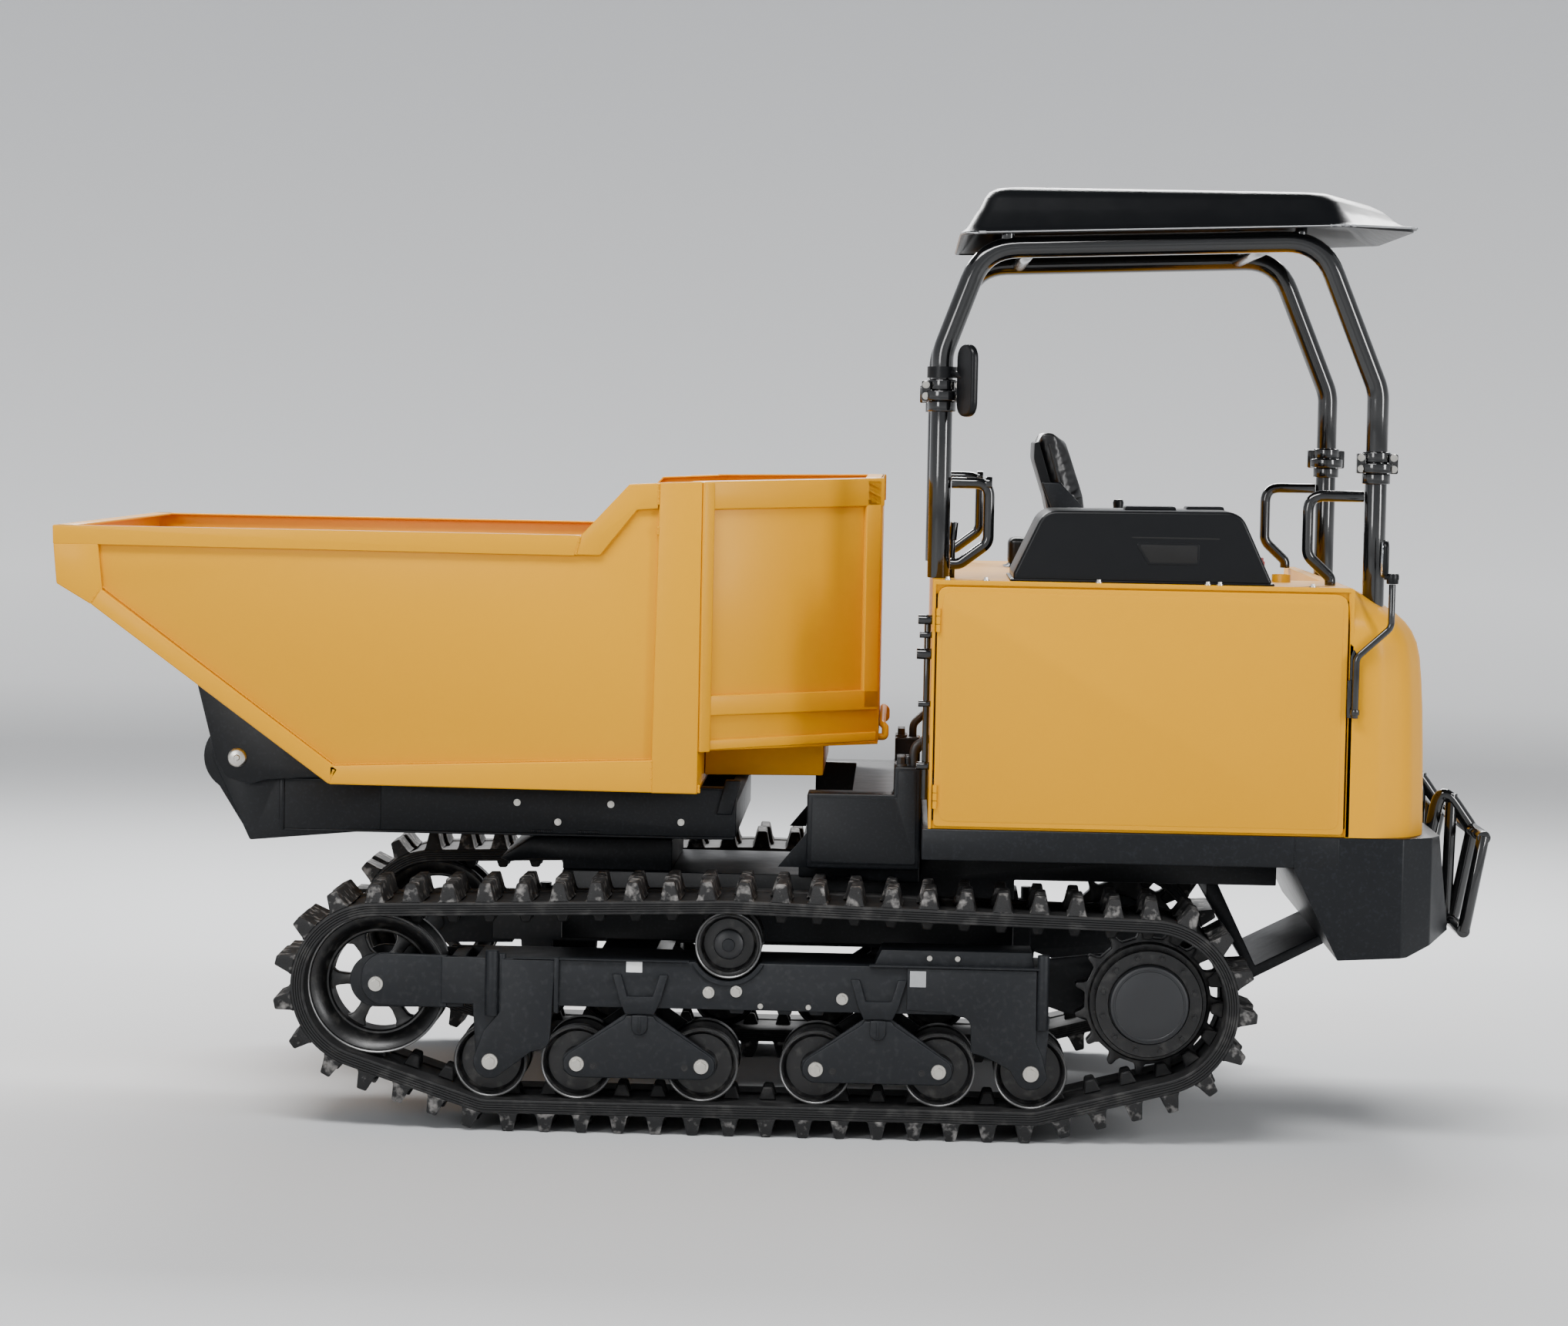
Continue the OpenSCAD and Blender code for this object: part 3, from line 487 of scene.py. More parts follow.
for side, sign in sides:
    for k in range(1, 7):
        centre, radius = hub("roller_%d_right" % k)
        wheel("roller_%d" % k, side, sign, "roller_%d_%s" % (k, side), [
            (turned(dished(radius, 0.102, 0.052, 0.0205, 0.020, 0.011), centre, belt_mid),
             "_body", wheel_paint),
            (rim_band(radius, belt_mid, centre, -0.102, -0.012), "_rim", worn_rim)])
    centre, radius = hub("carrier_roller_right")
    cap = turned([(0, -0.106), (0.010, -0.1065), (0.030, -0.104), (0.036, -0.100), (0.038, -0.094),
                  (0.038, -0.080), (0, -0.080)], centre, belt_mid)
    wheel("carrier_roller", side, sign, "carrier_roller_" + side, [
        (turned(dished(radius, 0.108, 0.052, 0.0165, 0.026, 0.015), centre, belt_mid),
         "_body", wheel_paint),
        (rim_band(radius, belt_mid, centre, -0.108, -0.014), "_rim", worn_rim),
        (cap, "_cap", hub_paint)])

    # front idler: six windows between ribs, a ring either side of the guide groove
    centre, radius = hub("idler_right")
    rim = turned([(radius - 0.047, -0.040), (radius - 0.030, -0.070),
                  (radius - 0.014, -0.082), (radius - 0.008, -0.085),
                  (radius - 0.002, -0.083), (radius, -0.078), (radius, -0.054),
                  (radius - 0.004, -0.051), (radius - 0.048, -0.046), (radius - 0.052, -0.040),
                  (radius - 0.052, 0.040), (radius - 0.048, 0.046), (radius - 0.004, 0.051),
                  (radius, 0.054), (radius, 0.078), (radius - 0.002, 0.083),
                  (radius - 0.008, 0.085), (radius - 0.014, 0.082),
                  (radius - 0.030, 0.070), (radius - 0.047, 0.040)],
                 centre, belt_mid, 96)
    boss = turned([(0.0252, -0.070), (0.046, -0.070), (0.050, -0.066), (0.052, -0.020),
                   (0.052, 0.020), (0.050, 0.066), (0.046, 0.070), (0.0252, 0.070)],
                  centre, belt_mid)
    for a in range(6):
        rib = slab(rounded([(0.045, -0.026), (0.080, -0.013), (0.112, -0.017), (0.136, -0.044),
                            (0.136, 0.044), (0.112, 0.017), (0.080, 0.013), (0.045, 0.026)],
                           [0, 0.03, 0.02, 0, 0, 0.02, 0.03, 0]), -0.018, 0.018, soft=0.005)
        bmesh.ops.rotate(rib, verts=rib.verts, matrix=Matrix.Rotation(a * math.pi / 3, 3, "Y"))
        bmesh.ops.translate(rib, verts=rib.verts, vec=(centre.x, belt_mid, centre.y))
        add(rim, rib)
    wheel("idler", side, sign, "idler_" + side, [
        (add(rim, boss), "_casting", wheel_paint),
        (rim_band(radius, belt_mid, centre, -0.085, -0.008), "_rim", worn_rim)])

    # sprocket: toothed ring, flange with twelve screws, and the drive's domed cover
    centre, radius = hub("sprocket_right")
    teeth = bmesh.new()
    outline = []
    for i in range(15):
        a = 2 * math.pi * i / 15
        for da, r in ((-0.095, 0.160), (-0.060, 0.168), (-0.036, radius - 0.003),
                      (-0.018, radius), (0.018, radius), (0.036, radius - 0.003),
                      (0.060, 0.168), (0.095, 0.160)):
            outline.append((centre.x + r * math.cos(a + da), centre.y + r * math.sin(a + da)))
    add(teeth, slab(outline, belt_mid - 0.024, belt_mid + 0.024, soft=0.0025, steps=2))
    ring = turned([(0.118, -0.042), (0.146, -0.042), (0.150, -0.038), (0.151, -0.022),
                   (0.118, -0.022)], centre, belt_mid, 96)
    drum = turned([(0.0605, 0.064), (0.113, 0.064), (0.115, 0.062), (0.115, -0.066),
                   (0.133, -0.067), (0.135, -0.070), (0.135, -0.078), (0.133, -0.081),
                   (0.1025, -0.082), (0.101, -0.071), (0.0605, -0.071)], centre, belt_mid, 96)
    cover = turned([(0, -0.1095), (0.050, -0.1098), (0.092, -0.1085), (0.0965, -0.1065),
                    (0.099, -0.102), (0.0995, -0.080), (0.0995, -0.072), (0, -0.072)],
                   centre, belt_mid, 96)
    groove = turned([(0.0845, -0.1082), (0.0865, -0.1102), (0.0895, -0.1100), (0.0905, -0.1080)],
                    centre, belt_mid, 96)
    screws = studs(bmesh.new(), [(centre.x + 0.1185 * math.cos(math.radians(a)),
                                  centre.y + 0.1185 * math.sin(math.radians(a)))
                                 for a in range(15, 375, 30)], belt_mid - 0.081, 0.0055, 0.007)
    ring_screws = studs(bmesh.new(), [(centre.x + 0.134 * math.cos(math.radians(a)),
                                       centre.y + 0.134 * math.sin(math.radians(a)))
                                      for a in range(0, 360, 24)], belt_mid - 0.042, 0.005, 0.006)
    wheel("sprocket", side, sign, "sprocket_" + side, [
        (add(add(teeth, ring), drum), "_toothed", wheel_paint), (cover, "_cover", hub_paint),
        (groove, "_cover_bead", hub_paint), (add(screws, ring_screws), "_screws", wheel_paint)])

# ---------------------------------------------------------------- track frames
# Welded box beams in thick plate, painted dark grey-black, with flame-cut legs for the end
# rollers, round guard bars, bogie hangers, and a sliding fork for the idler.
frame_paint = finish("frame_paint", (0.0085, 0.0098, 0.0120), (0.38, 0.56),
                     grain=(900, 0.45, 0.0007), speckle=((0.045, 0.047, 0.050), 0.22, 70.0),
                     blotch=0.10, blotch_size=9, spec=0.28)
grey_label_and_rim_highlight = finish("grey_label_and_rim_highlight", (0.34, 0.35, 0.36), (0.4, 0.55), blotch=0.1, blotch_size=80)
label_white = finish("label_white", (0.75, 0.76, 0.76), (0.35, 0.5), blotch=0.05,
                     blotch_size=80)


def softened(node, width, steps=2, angle=28):
    """A copy of a CAD node's solid with its flat faces joined and its sharp edges eased."""
    mesh = bmesh.new()
    mesh.from_mesh(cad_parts[node].data)
    bmesh.ops.remove_doubles(mesh, verts=mesh.verts, dist=1e-5)
    bmesh.ops.dissolve_limit(mesh, angle_limit=math.radians(0.6), verts=mesh.verts,
                             edges=mesh.edges)
    sharp = [e for e in mesh.edges if e.is_manifold and e.calc_face_angle(0) > math.radians(angle)]
    bmesh.ops.bevel(mesh, geom=sharp, offset=width, offset_type="OFFSET", segments=steps,
                    profile=0.5, affect="EDGES", clamp_overlap=False, material=-1)
    return mesh


def arc(x, z, radius, first, last, steps=10):
    """Points on an arc, angles in degrees anticlockwise from +X."""
    return [(x + radius * math.cos(math.radians(first + (last - first) * i / steps)),
             z + radius * math.sin(math.radians(first + (last - first) * i / steps)))
            for i in range(steps + 1)]


def round_bar(path, radius, bend=0.0, steps=20, caps=True):
    """A round bar or tube along 3D points, its corners bent to a radius."""
    points = [Vector(p) for p in path]
    route = [points[0]]
    for a, b, c in zip(points, points[1:], points[2:]):
        back, on = (a - b).normalized(), (c - b).normalized()
        half = back.angle(on) / 2
        cut = min(bend / math.tan(half), (a - b).length * 0.48, (c - b).length * 0.48)
        start, end = b + back * cut, b + on * cut
        for i in range(9):
            t = i / 8
            route.append((1 - t) ** 2 * start + 2 * t * (1 - t) * b + t * t * end)
    route.append(points[-1])
    mesh = bmesh.new()
    heading = (route[1] - route[0]).normalized()
    bmesh.ops.create_circle(mesh, cap_ends=caps, segments=steps, radius=radius)
    turn = heading.to_track_quat("Z", "Y")
    bmesh.ops.transform(mesh, verts=mesh.verts,
                        matrix=Matrix.Translation(route[0]) @ turn.to_matrix().to_4x4())
    ring = mesh.edges[:]
    for i in range(1, len(route)):
        out = bmesh.ops.extrude_edge_only(mesh, edges=ring)
        moved = verts_of(out)
        held = set(moved)
        ring = [g for g in out["geom"] if isinstance(g, bmesh.types.BMEdge)
                and all(v in held for v in g.verts)]
        new_heading = (route[min(i + 1, len(route) - 1)] - route[max(i - 1, 0)])
        if i == len(route) - 1:
            new_heading = route[i] - route[i - 1]
        new_heading.normalize()
        swing = heading.rotation_difference(new_heading).to_matrix()
        bmesh.ops.translate(mesh, verts=moved, vec=route[i] - route[i - 1])
        bmesh.ops.rotate(mesh, verts=moved, cent=route[i], matrix=swing)
        heading = new_heading
    if caps:
        bmesh.ops.holes_fill(mesh, edges=ring)
        bmesh.ops.recalc_face_normals(mesh, faces=mesh.faces)
        ends = [e for e in mesh.edges if e.calc_face_angle(0) > math.radians(60)]
        bmesh.ops.bevel(mesh, geom=ends, offset=radius * 0.12, offset_type="OFFSET", segments=2,
                        profile=0.5, affect="EDGES", clamp_overlap=True, material=-1)
    return mesh


face_y = belt_low.y + 0.035
axle_z = hub("roller_1_right")[0].y
x1, x6 = hub("roller_1_right")[0].x, hub("roller_6_right")[0].x
carrier, carrier_r = hub("carrier_roller_right")
for side, sign in sides:
    beam = softened("track_frame_right", 0.0025)
    front = bmesh.new()
    leg = [(x1 + 0.025, 0.431), (x1 + 0.025, 0.300), (x1 - 0.017, 0.249)]
    leg += arc(x1, axle_z, 0.042, 150, 320, 14)
    leg += [(x1 + 0.103, axle_z + 0.027)] + arc(x1 + 0.120, axle_z + 0.062, 0.030, -70, 0, 5)
    leg += [(x1 + 0.155, 0.310), (x1 + 0.161, 0.431)]
    add(front, slab(leg, face_y - 0.007, face_y + 0.010, soft=0.003))
    rear_leg = [(0.345, 0.431), (0.345, 0.325), (0.440, 0.322)]
    rear_leg += arc(0.480, 0.285, 0.026, 90, 0, 6) + [(0.507, 0.222), (0.545, 0.212)]
    rear_leg += [(x6 - 0.052, axle_z + 0.008)] + arc(x6, axle_z, 0.041, 215, 350, 12)
    rear_leg += [(x6 + 0.028, 0.215), (x6 + 0.012, 0.250), (x6 + 0.010, 0.431)]
    add(front, slab(rear_leg, face_y - 0.007, face_y + 0.010, soft=0.003))
    # seams, ledges and the cranked cover strip along the beam's top
    add(front, slab([(x1 + 0.158, 0.438), (x1 + 0.158, 0.300), (x1 + 0.170, 0.296),
                     (x1 + 0.170, 0.438)], face_y - 0.011, face_y + 0.02, soft=0.003))
    add(front, slab([(0.262, 0.434), (0.280, 0.474), (0.655, 0.474), (0.662, 0.434)],
                    face_y + 0.010, face_y + 0.16, soft=0.003))
    add(front, slab([(0.250, 0.432), (0.250, 0.437), (0.690, 0.437), (0.690, 0.432)],
                    face_y - 0.012, face_y + 0.02, soft=0.001))
    add(front, slab([(-0.640, 0.432), (-0.640, 0.436), (-0.200, 0.436), (-0.200, 0.432)],
                    face_y - 0.008, face_y + 0.02, soft=0.001))
    collar = turned([(carrier_r + 0.006, -0.131), (carrier_r + 0.016, -0.131),
                     (carrier_r + 0.016, -0.110), (carrier_r + 0.006, -0.110)],
                    carrier, belt_mid, 64)
    bmesh.ops.bisect_plane(collar, geom=collar.verts[:] + collar.edges[:] + collar.faces[:],
                           plane_co=(0, 0, 0.431), plane_no=(0, 0, 1), clear_outer=True)
    add(front, collar)
    # hangers above the two bogies
    for b in (-0.321, 0.2745):
        add(front, slab([(b - 0.070, 0.400), (b - 0.050, 0.330), (b - 0.036, 0.300),
                         (b + 0.036, 0.300), (b + 0.050, 0.330), (b + 0.070, 0.400),
                         (b + 0.048, 0.400), (b + 0.032, 0.345), (b - 0.032, 0.345),
                         (b - 0.048, 0.400)], face_y - 0.012, face_y + 0.004, soft=0.003))
        add(front, slab([(b - 0.040, 0.345), (b - 0.040, 0.312), (b + 0.040, 0.312),
                         (b + 0.040, 0.345)], face_y - 0.004, face_y + 0.010, soft=0.002))
    # rope-hook eye welded under the beam, and inner stiffeners seen through the gaps
    for x in (-0.10, 0.02, 0.10):
        add(front, slab([(x, 0.316), (x + 0.004, 0.302), (x + 0.036, 0.302), (x + 0.040, 0.316)],
                        face_y + 0.03, face_y + 0.10, soft=0.002))
    bars = round_bar([(x1 + 0.002, face_y - 0.002, 0.452), (x1 + 0.002, face_y - 0.002, 0.288)],
                     0.017)
    add(bars, round_bar([(x1 + 0.026, face_y + 0.006, 0.444), (x1 + 0.026, face_y + 0.006, 0.262)],
                        0.011))
    add(bars, round_bar([(x6 + 0.026, face_y + 0.000, 0.470), (x6 + 0.026, face_y + 0.000, 0.282)],
                        0.015))
    bolts = studs(bmesh.new(), [(-0.150, 0.358), (-0.081, 0.362), (0.184, 0.349)],
                  face_y, 0.010, 0.010)
    studs(bolts, [(x1, axle_z), (x6, axle_z)], face_y - 0.007, 0.0135, 0.009, 6)
    studs(bolts, [(0.10, 0.326), (-0.02, 0.326), (0.40, 0.456), (0.47, 0.456)], face_y, 0.0045,
          0.006)
    plates = slab([(-0.357, 0.404), (-0.317, 0.404), (-0.317, 0.431), (-0.357, 0.431)],
                  face_y - 0.0012, face_y + 0.001, soft=0.0004, steps=1)
    grey_plate = slab([(0.352, 0.384), (0.392, 0.384), (0.392, 0.424), (0.352, 0.424)],
                      face_y - 0.0082, face_y - 0.006, soft=0.0004, steps=1)
    for mesh, part, paint, slot, taken in (
            (beam, "track_beam", frame_paint, "black_paint", ["track_frame_" + side]),
            (front, "track_side_plates", frame_paint, "black_paint", []),
            (bars, "track_guard_bars", frame_paint, "black_paint", []),
            (bolts, "track_frame_bolts", plated, "bright_steel", []),
            (plates, "track_label_white", label_white, "bright_steel", []),
            (grey_plate, "track_label_grey", grey_label_and_rim_highlight, "bright_steel", [])):
        if sign > 0:
            mirrored(mesh)
        place(part + "_" + side, mesh, "chassis", paint, slot, taken)

    # idler fork: round-nosed cheek plates, a sliding block, and the idler's axle bolt
    fork = softened("idler_fork_right", 0.0025)
    idler = hub("idler_right")[0]
    cheek = [(-0.806, 0.304), (-0.806, 0.436), (-0.960, 0.438)]
    cheek += arc(-0.962, 0.378, 0.060, 92, 180, 8) + arc(-0.962, 0.366, 0.060, 180, 262, 8)
    add(fork, slab(cheek, face_y + 0.002, face_y + 0.021, soft=0.004))
    add(fork, slab([(-0.808, 0.330), (-0.808, 0.424), (-0.740, 0.424), (-0.740, 0.330)],
                   face_y + 0.012, face_y + 0.030, soft=0.003))
    add(fork, slab([(-0.770, 0.345), (-0.770, 0.352), (-0.748, 0.352), (-0.748, 0.345)],
                   face_y + 0.009, face_y + 0.013, soft=0.001))
    axle_bolt = studs(bmesh.new(), [(idler.x, idler.y + 0.003)], face_y + 0.002, 0.0125, 0.008, 6)
    for mesh, part, paint, taken in ((fork, "idler_fork_cheeks", frame_paint,
                                      ["idler_fork_" + side]),
                                     (axle_bolt, "idler_axle_bolt", plated, [])):
        if sign > 0:
            mirrored(mesh)
        place(part + "_" + side, mesh, "idler_fork_" + side, paint, "black_paint", taken)

    # bogies: pairs of three-cornered plates that rock on the hanger's pin
    for letter, pivot, first, last in (("a", -0.321, "roller_2_right", "roller_3_right"),
                                       ("b", 0.2745, "roller_4_right", "roller_5_right")):
        xa, xb = hub(first)[0].x, hub(last)[0].x
        bogie = softened("bogie_%s_right" % letter, 0.0015)
        plate = [(pivot - 0.034, 0.296), (pivot - 0.040, 0.286)]
        plate += arc(xa, axle_z, 0.034, 120, 268, 12) + arc(xb, axle_z, 0.034, 272, 420, 12)
        plate += [(pivot + 0.040, 0.286), (pivot + 0.034, 0.296)]
        add(bogie, slab(plate, face_y - 0.010, face_y + 0.004, soft=0.0035, steps=3))
        nub = slab([(pivot - 0.020, 0.298)] + arc(pivot, 0.268, 0.020, 180, 360, 8)
                   + [(pivot + 0.020, 0.298)], face_y - 0.017, face_y - 0.006, soft=0.003)
        add(bogie, nub)
        add(bogie, slab([(pivot - 0.003, 0.296), (pivot - 0.003, 0.256), (pivot + 0.003, 0.256),
                         (pivot + 0.003, 0.296)], face_y - 0.019, face_y - 0.012, soft=0.001))
        pins = studs(bmesh.new(), [(xa, axle_z), (xb, axle_z)], face_y - 0.010, 0.0125, 0.009, 6)
        holes = studs(bmesh.new(), [(xa + 0.042, axle_z - 0.004), (xb - 0.042, axle_z - 0.004)],
                      face_y - 0.0095, 0.006, 0.002, 20)
        for mesh, part, paint, taken in ((bogie, "plates", frame_paint,
                                          ["bogie_%s_%s" % (letter, side)]),
                                         (pins, "pin_heads", plated, []),
                                         (holes, "plugs", wheel_paint, [])):
            if sign > 0:
                mirrored(mesh)
            place("bogie_%s_%s_%s" % (letter, part, side), mesh, "bogie_%s_%s" % (letter, side),
                  paint, "black_paint", taken)
# ---------------------------------------------------------------- skip
# A tipping skip of 6 mm steel sheet, its rim and sides stiffened with folded bands, welded and
# powder coated yellow. Its head end is drawn in by two slanting panels over a lower box.
yellow = finish("yellow_powder_coat", (0.72, 0.325, 0.000), (0.30, 0.40),
                grain=(520, 0.14, 0.0006), blotch=0.03, blotch_size=2.2, coat=0.05,
                coat_rough=0.22, spec=0.12)


def bead(path, radius=0.004):
    """A weld bead along 3D points, with the ripples of its run."""
    mesh = bmesh.new()
    for a, b in zip(path, path[1:]):
        a, b = Vector(a), Vector(b)
        count = max(2, round((b - a).length / (radius * 1.3)))
        for i in range(count + 1):
            lump = bmesh.new()
            bmesh.ops.create_icosphere(lump, subdivisions=1,
                                       radius=radius * (1.0 + 0.12 * math.sin(i * 2.4)))
            bmesh.ops.translate(lump, verts=lump.verts, vec=a + (b - a) * i / count)
            add(mesh, lump)
    return mesh


def upright(plan, low, high, soft=0.003, steps=2):
    """A body with a plan outline in X and Y, from one height to another."""
    mesh = slab([(x, -y) for x, y in plan], -high, -low, soft, steps)
    bmesh.ops.rotate(mesh, verts=mesh.verts, matrix=Matrix.Rotation(math.radians(-90), 3, "X"))
    return mesh


skip_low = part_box("skip")[0]
side_y = skip_low.y
panel_y = side_y + 0.014
rim = 1.492
wall = 0.006
edge = [(skip_low.x, rim), (-1.806, 1.346), (-1.719, 1.295), (-1.114, 0.855), (-0.190, 0.850),
        (-0.190, 1.632), (-0.371, 1.622), (-0.491, rim)]
half_skip = slab(edge, panel_y, panel_y + wall, soft=0.0015)
bands = [rounded([(skip_low.x, rim), (skip_low.x + 0.0015, 1.446), (-0.507, 1.4415), (-0.491, rim)],
                 [0.004, 0, 0, 0.01]),
         [(skip_low.x + 0.0015, 1.447), (-1.806, 1.346), (-1.719, 1.295), (-1.690, 1.330),
          (-1.702, 1.447)],
         [(-1.719, 1.2955), (-1.1145, 0.8555), (-1.090, 0.893), (-1.695, 1.335)],
         [(-1.114, 0.8555), (-0.300, 0.8515), (-0.300, 0.9335), (-1.114, 0.902)],
         [(-0.307, 0.8505), (-0.190, 0.8505), (-0.190, 1.632), (-0.296, 1.6275)],
         [(-0.4905, rim), (-0.3705, 1.622), (-0.297, 1.6255), (-0.300, 1.562), (-0.352, 1.558),
          (-0.443, 1.4425), (-0.506, 1.4425)]]
for band in bands:
    add(half_skip, slab(band, side_y, panel_y + 0.002, soft=0.0035, steps=3))
# returned flange under the rim band and along the inside of the frame
add(half_skip, slab([(-1.812, rim), (-1.812, rim - 0.005), (-0.495, rim - 0.005), (-0.491, rim)],
                    side_y + 0.002, side_y + 0.050, soft=0.002))
add(half_skip, slab([(-0.4875, rim - 0.004), (-0.3695, 1.618), (-0.192, 1.628), (-0.192, 1.632),
                     (-0.3715, 1.622), (-0.491, rim)], side_y + 0.002, side_y + 0.050, soft=0.001))

slant = math.atan2(-panel_y - 0.380, 0.448)
slant_length = math.hypot(0.448, -panel_y - 0.380)
turn_panel = (Matrix.Translation((-0.190, panel_y, 0)) @ Matrix.Rotation(slant, 4, "Z"))
panel = slab([(0, 0.958), (slant_length, 0.966), (slant_length, 1.645), (0, 1.632)], 0, wall,
             soft=0.0015)
for outline, proud in (
        ([(0.0, 1.562), (slant_length - 0.002, 1.573), (slant_length - 0.002, 1.645),
          (0.0, 1.632)], 0.012),
        ([(slant_length - 0.060, 1.052), (slant_length - 0.012, 1.052),
          (slant_length - 0.012, 1.640), (slant_length - 0.060, 1.640)], 0.012),
        ([(0.0, 1.046), (slant_length - 0.012, 1.048), (slant_length - 0.012, 1.100),
          (0.0, 1.097)], 0.012),
        ([(0.0, 0.959), (slant_length - 0.010, 0.967), (slant_length - 0.010, 0.991),
          (0.0, 0.985)], 0.006),
        ([(-0.004, 0.955), (0.028, 0.955), (0.030, 1.631), (-0.004, 1.631)], 0.014)):
    add(panel, slab(outline, -proud, 0.002, soft=0.0035, steps=3))
add(panel, slab([(0, 1.628), (slant_length, 1.641), (slant_length, 1.645), (0, 1.632)], 0.0,
                0.042, soft=0.001))
bmesh.ops.transform(panel, verts=panel.verts, matrix=turn_panel)
add(half_skip, panel)

# welds at the post, the frame corners and along the lower box
for path in ([(-0.299, side_y + 0.002, 1.575), (-0.299, side_y + 0.002, 1.622)],
             [(-0.298, side_y + 0.002, 1.500), (-0.298, side_y + 0.002, 1.515)],
             [(-0.305, side_y + 0.002, 0.856), (-0.305, side_y + 0.002, 0.930)],
             [(-1.114, side_y + 0.002, 0.862), (-1.103, side_y + 0.002, 0.890)],
             [(-1.719, side_y + 0.002, 1.300), (-1.700, side_y + 0.002, 1.328)],
             [(-0.186, side_y + 0.004, 0.856), (-0.186, side_y + 0.004, 0.870)],
             [(-0.503, side_y + 0.001, 1.446), (-0.493, side_y + 0.001, 1.486)]):
    add(half_skip, bead(path, 0.0042))
add(half_skip, bead([(-1.108, panel_y - 0.001, 0.904), (-0.309, panel_y - 0.001, 0.935)], 0.003))
add(half_skip, bead([(-1.690, panel_y - 0.001, 1.338), (-1.090, panel_y - 0.001, 0.896)], 0.003))
add(half_skip, slab([(-0.520, 0.856), (-0.504, 0.792), (-0.444, 0.792), (-0.428, 0.856)],
                    -0.048, -0.034, soft=0.002))
other_half = mirrored(half_skip.copy())
skip_mesh = add(half_skip, other_half)
tray = [(skip_low.x, rim), (-1.806, 1.346), (-1.719, 1.295), (-1.114, 0.855), (-0.190, 0.850),
        (-0.190, 0.856), (-1.112, 0.861), (-1.7155, 1.3015), (-1.8005, 1.350),
        (skip_low.x + 0.006, rim)]
add(skip_mesh, slab(tray, panel_y + 0.001, -panel_y - 0.001, soft=0))
add(skip_mesh, slab([(-1.812, rim), (-1.812, rim - 0.006), (-1.770, rim - 0.006),
                     (-1.770, rim)], panel_y, -panel_y, soft=0.002))
add(skip_mesh, upright([(-0.191, panel_y), (0.257, -0.381), (0.257, 0.381), (-0.191, -panel_y)],
                       0.958, 0.964, soft=0.001))
add(skip_mesh, slab([(-0.196, 0.850), (-0.190, 0.850), (-0.190, 0.962), (-0.196, 0.962)],
                    panel_y, -panel_y, soft=0.001))
add(skip_mesh, slab([(0.252, 0.966), (0.258, 0.966), (0.258, 1.645), (0.252, 1.645)],
                    -0.381, 0.381, soft=0.001))
add(skip_mesh, slab([(0.212, 1.6385), (0.258, 1.6385), (0.258, 1.645), (0.212, 1.645)],
                    -0.381, 0.381, soft=0.002))
add(skip_mesh, slab([(-0.188, 0.869), (0.118, 0.873), (0.118, 0.960), (-0.188, 0.960)],
                    -0.380, 0.380, soft=0.004))
# the head's rolled pull rail, its ends curled back to the panel
rail = [(0.256, -0.338, 0.974), (0.276, -0.338, 0.974), (0.276, -0.338, 1.000),
        (0.268, -0.330, 1.007), (0.268, 0.330, 1.007), (0.276, 0.338, 1.000),
        (0.276, 0.338, 0.974), (0.256, 0.338, 0.974)]
add(skip_mesh, round_bar(rail, 0.009, 0.008, 16))
place("skip_shell", skip_mesh, "skip", yellow, "yellow_paint", ["skip"])

# ---------------------------------------------------------------- skip hinges and subframe
# Thick black ears on a box-beam subframe. Plates welded under the skip's slope hang outside the
# ears, and headed pins go through both.
satin_black = finish("satin_black_paint", (0.0042, 0.0052, 0.0068), (0.30, 0.44),
                     grain=(1100, 0.35, 0.0005), speckle=((0.022, 0.026, 0.032), 0.35, 130.0),
                     blotch=0.12, blotch_size=3.0, coat=0.04, coat_rough=0.3, spec=0.24)
hinge = slab(rounded([(-1.4895, 1.131), (-1.118, 0.861), (-1.300, 0.8485), (-1.340, 0.835),
                      (-1.402, 0.852), (-1.430, 0.900)], [0.004, 0.004, 0, 0.04, 0.03, 0.02]),
             -0.5655, -0.5375, soft=0.0025)
add(hinge, mirrored(hinge.copy()))
place("skip_hinge_plates", hinge, "skip", satin_black, "black_paint")

low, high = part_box("skip_frame")
subframe = softened("skip_frame", 0.003)
ear = slab(rounded([(-1.444, 0.900), (-1.345, 0.6895), (-1.009, 0.7215), (-1.009, 0.8455),
                    (-1.275, 0.868), (-1.300, 0.960), (-1.380, 0.996), (-1.440, 0.985)],
                   [0.03, 0.008, 0, 0, 0.02, 0.03, 0.05, 0.05]), -0.533, -0.4995, soft=0.003)
add(ear, slab([(-1.262, 0.846), (-1.262, 0.8515), (-0.128, 0.8475), (-0.128, 0.843)],
              -0.5345, -0.470, soft=0.002))
add(ear, slab([(-1.262, 0.716), (-1.262, 0.722), (-0.104, 0.722), (-0.104, 0.716)],
              -0.5345, -0.470, soft=0.002))
add(ear, slab([(-1.270, 0.718), (-1.256, 0.718), (-1.256, 0.852), (-1.270, 0.852)],
              -0.536, -0.500, soft=0.002))
add(ear, slab([(-0.150, 0.780), (-0.110, 0.780), (-0.088, 0.868), (-0.128, 0.868)],
              -0.5365, -0.500, soft=0.003))
for x in (-0.62, -0.50):
    add(ear, bead([(x, -0.531, 0.728), (x + 0.05, -0.531, 0.728)], 0.004))
add(ear, mirrored(ear.copy()))
place("skip_subframe", add(subframe, ear), "skip_frame", satin_black, "black_paint",
      ["skip_frame"])
dots = studs(bmesh.new(), [(-0.555, 0.752), (-0.66, 0.80), (-0.42, 0.80), (-0.24, 0.758)],
             -0.5305, 0.006, 0.006)
add(dots, mirrored(dots.copy()))
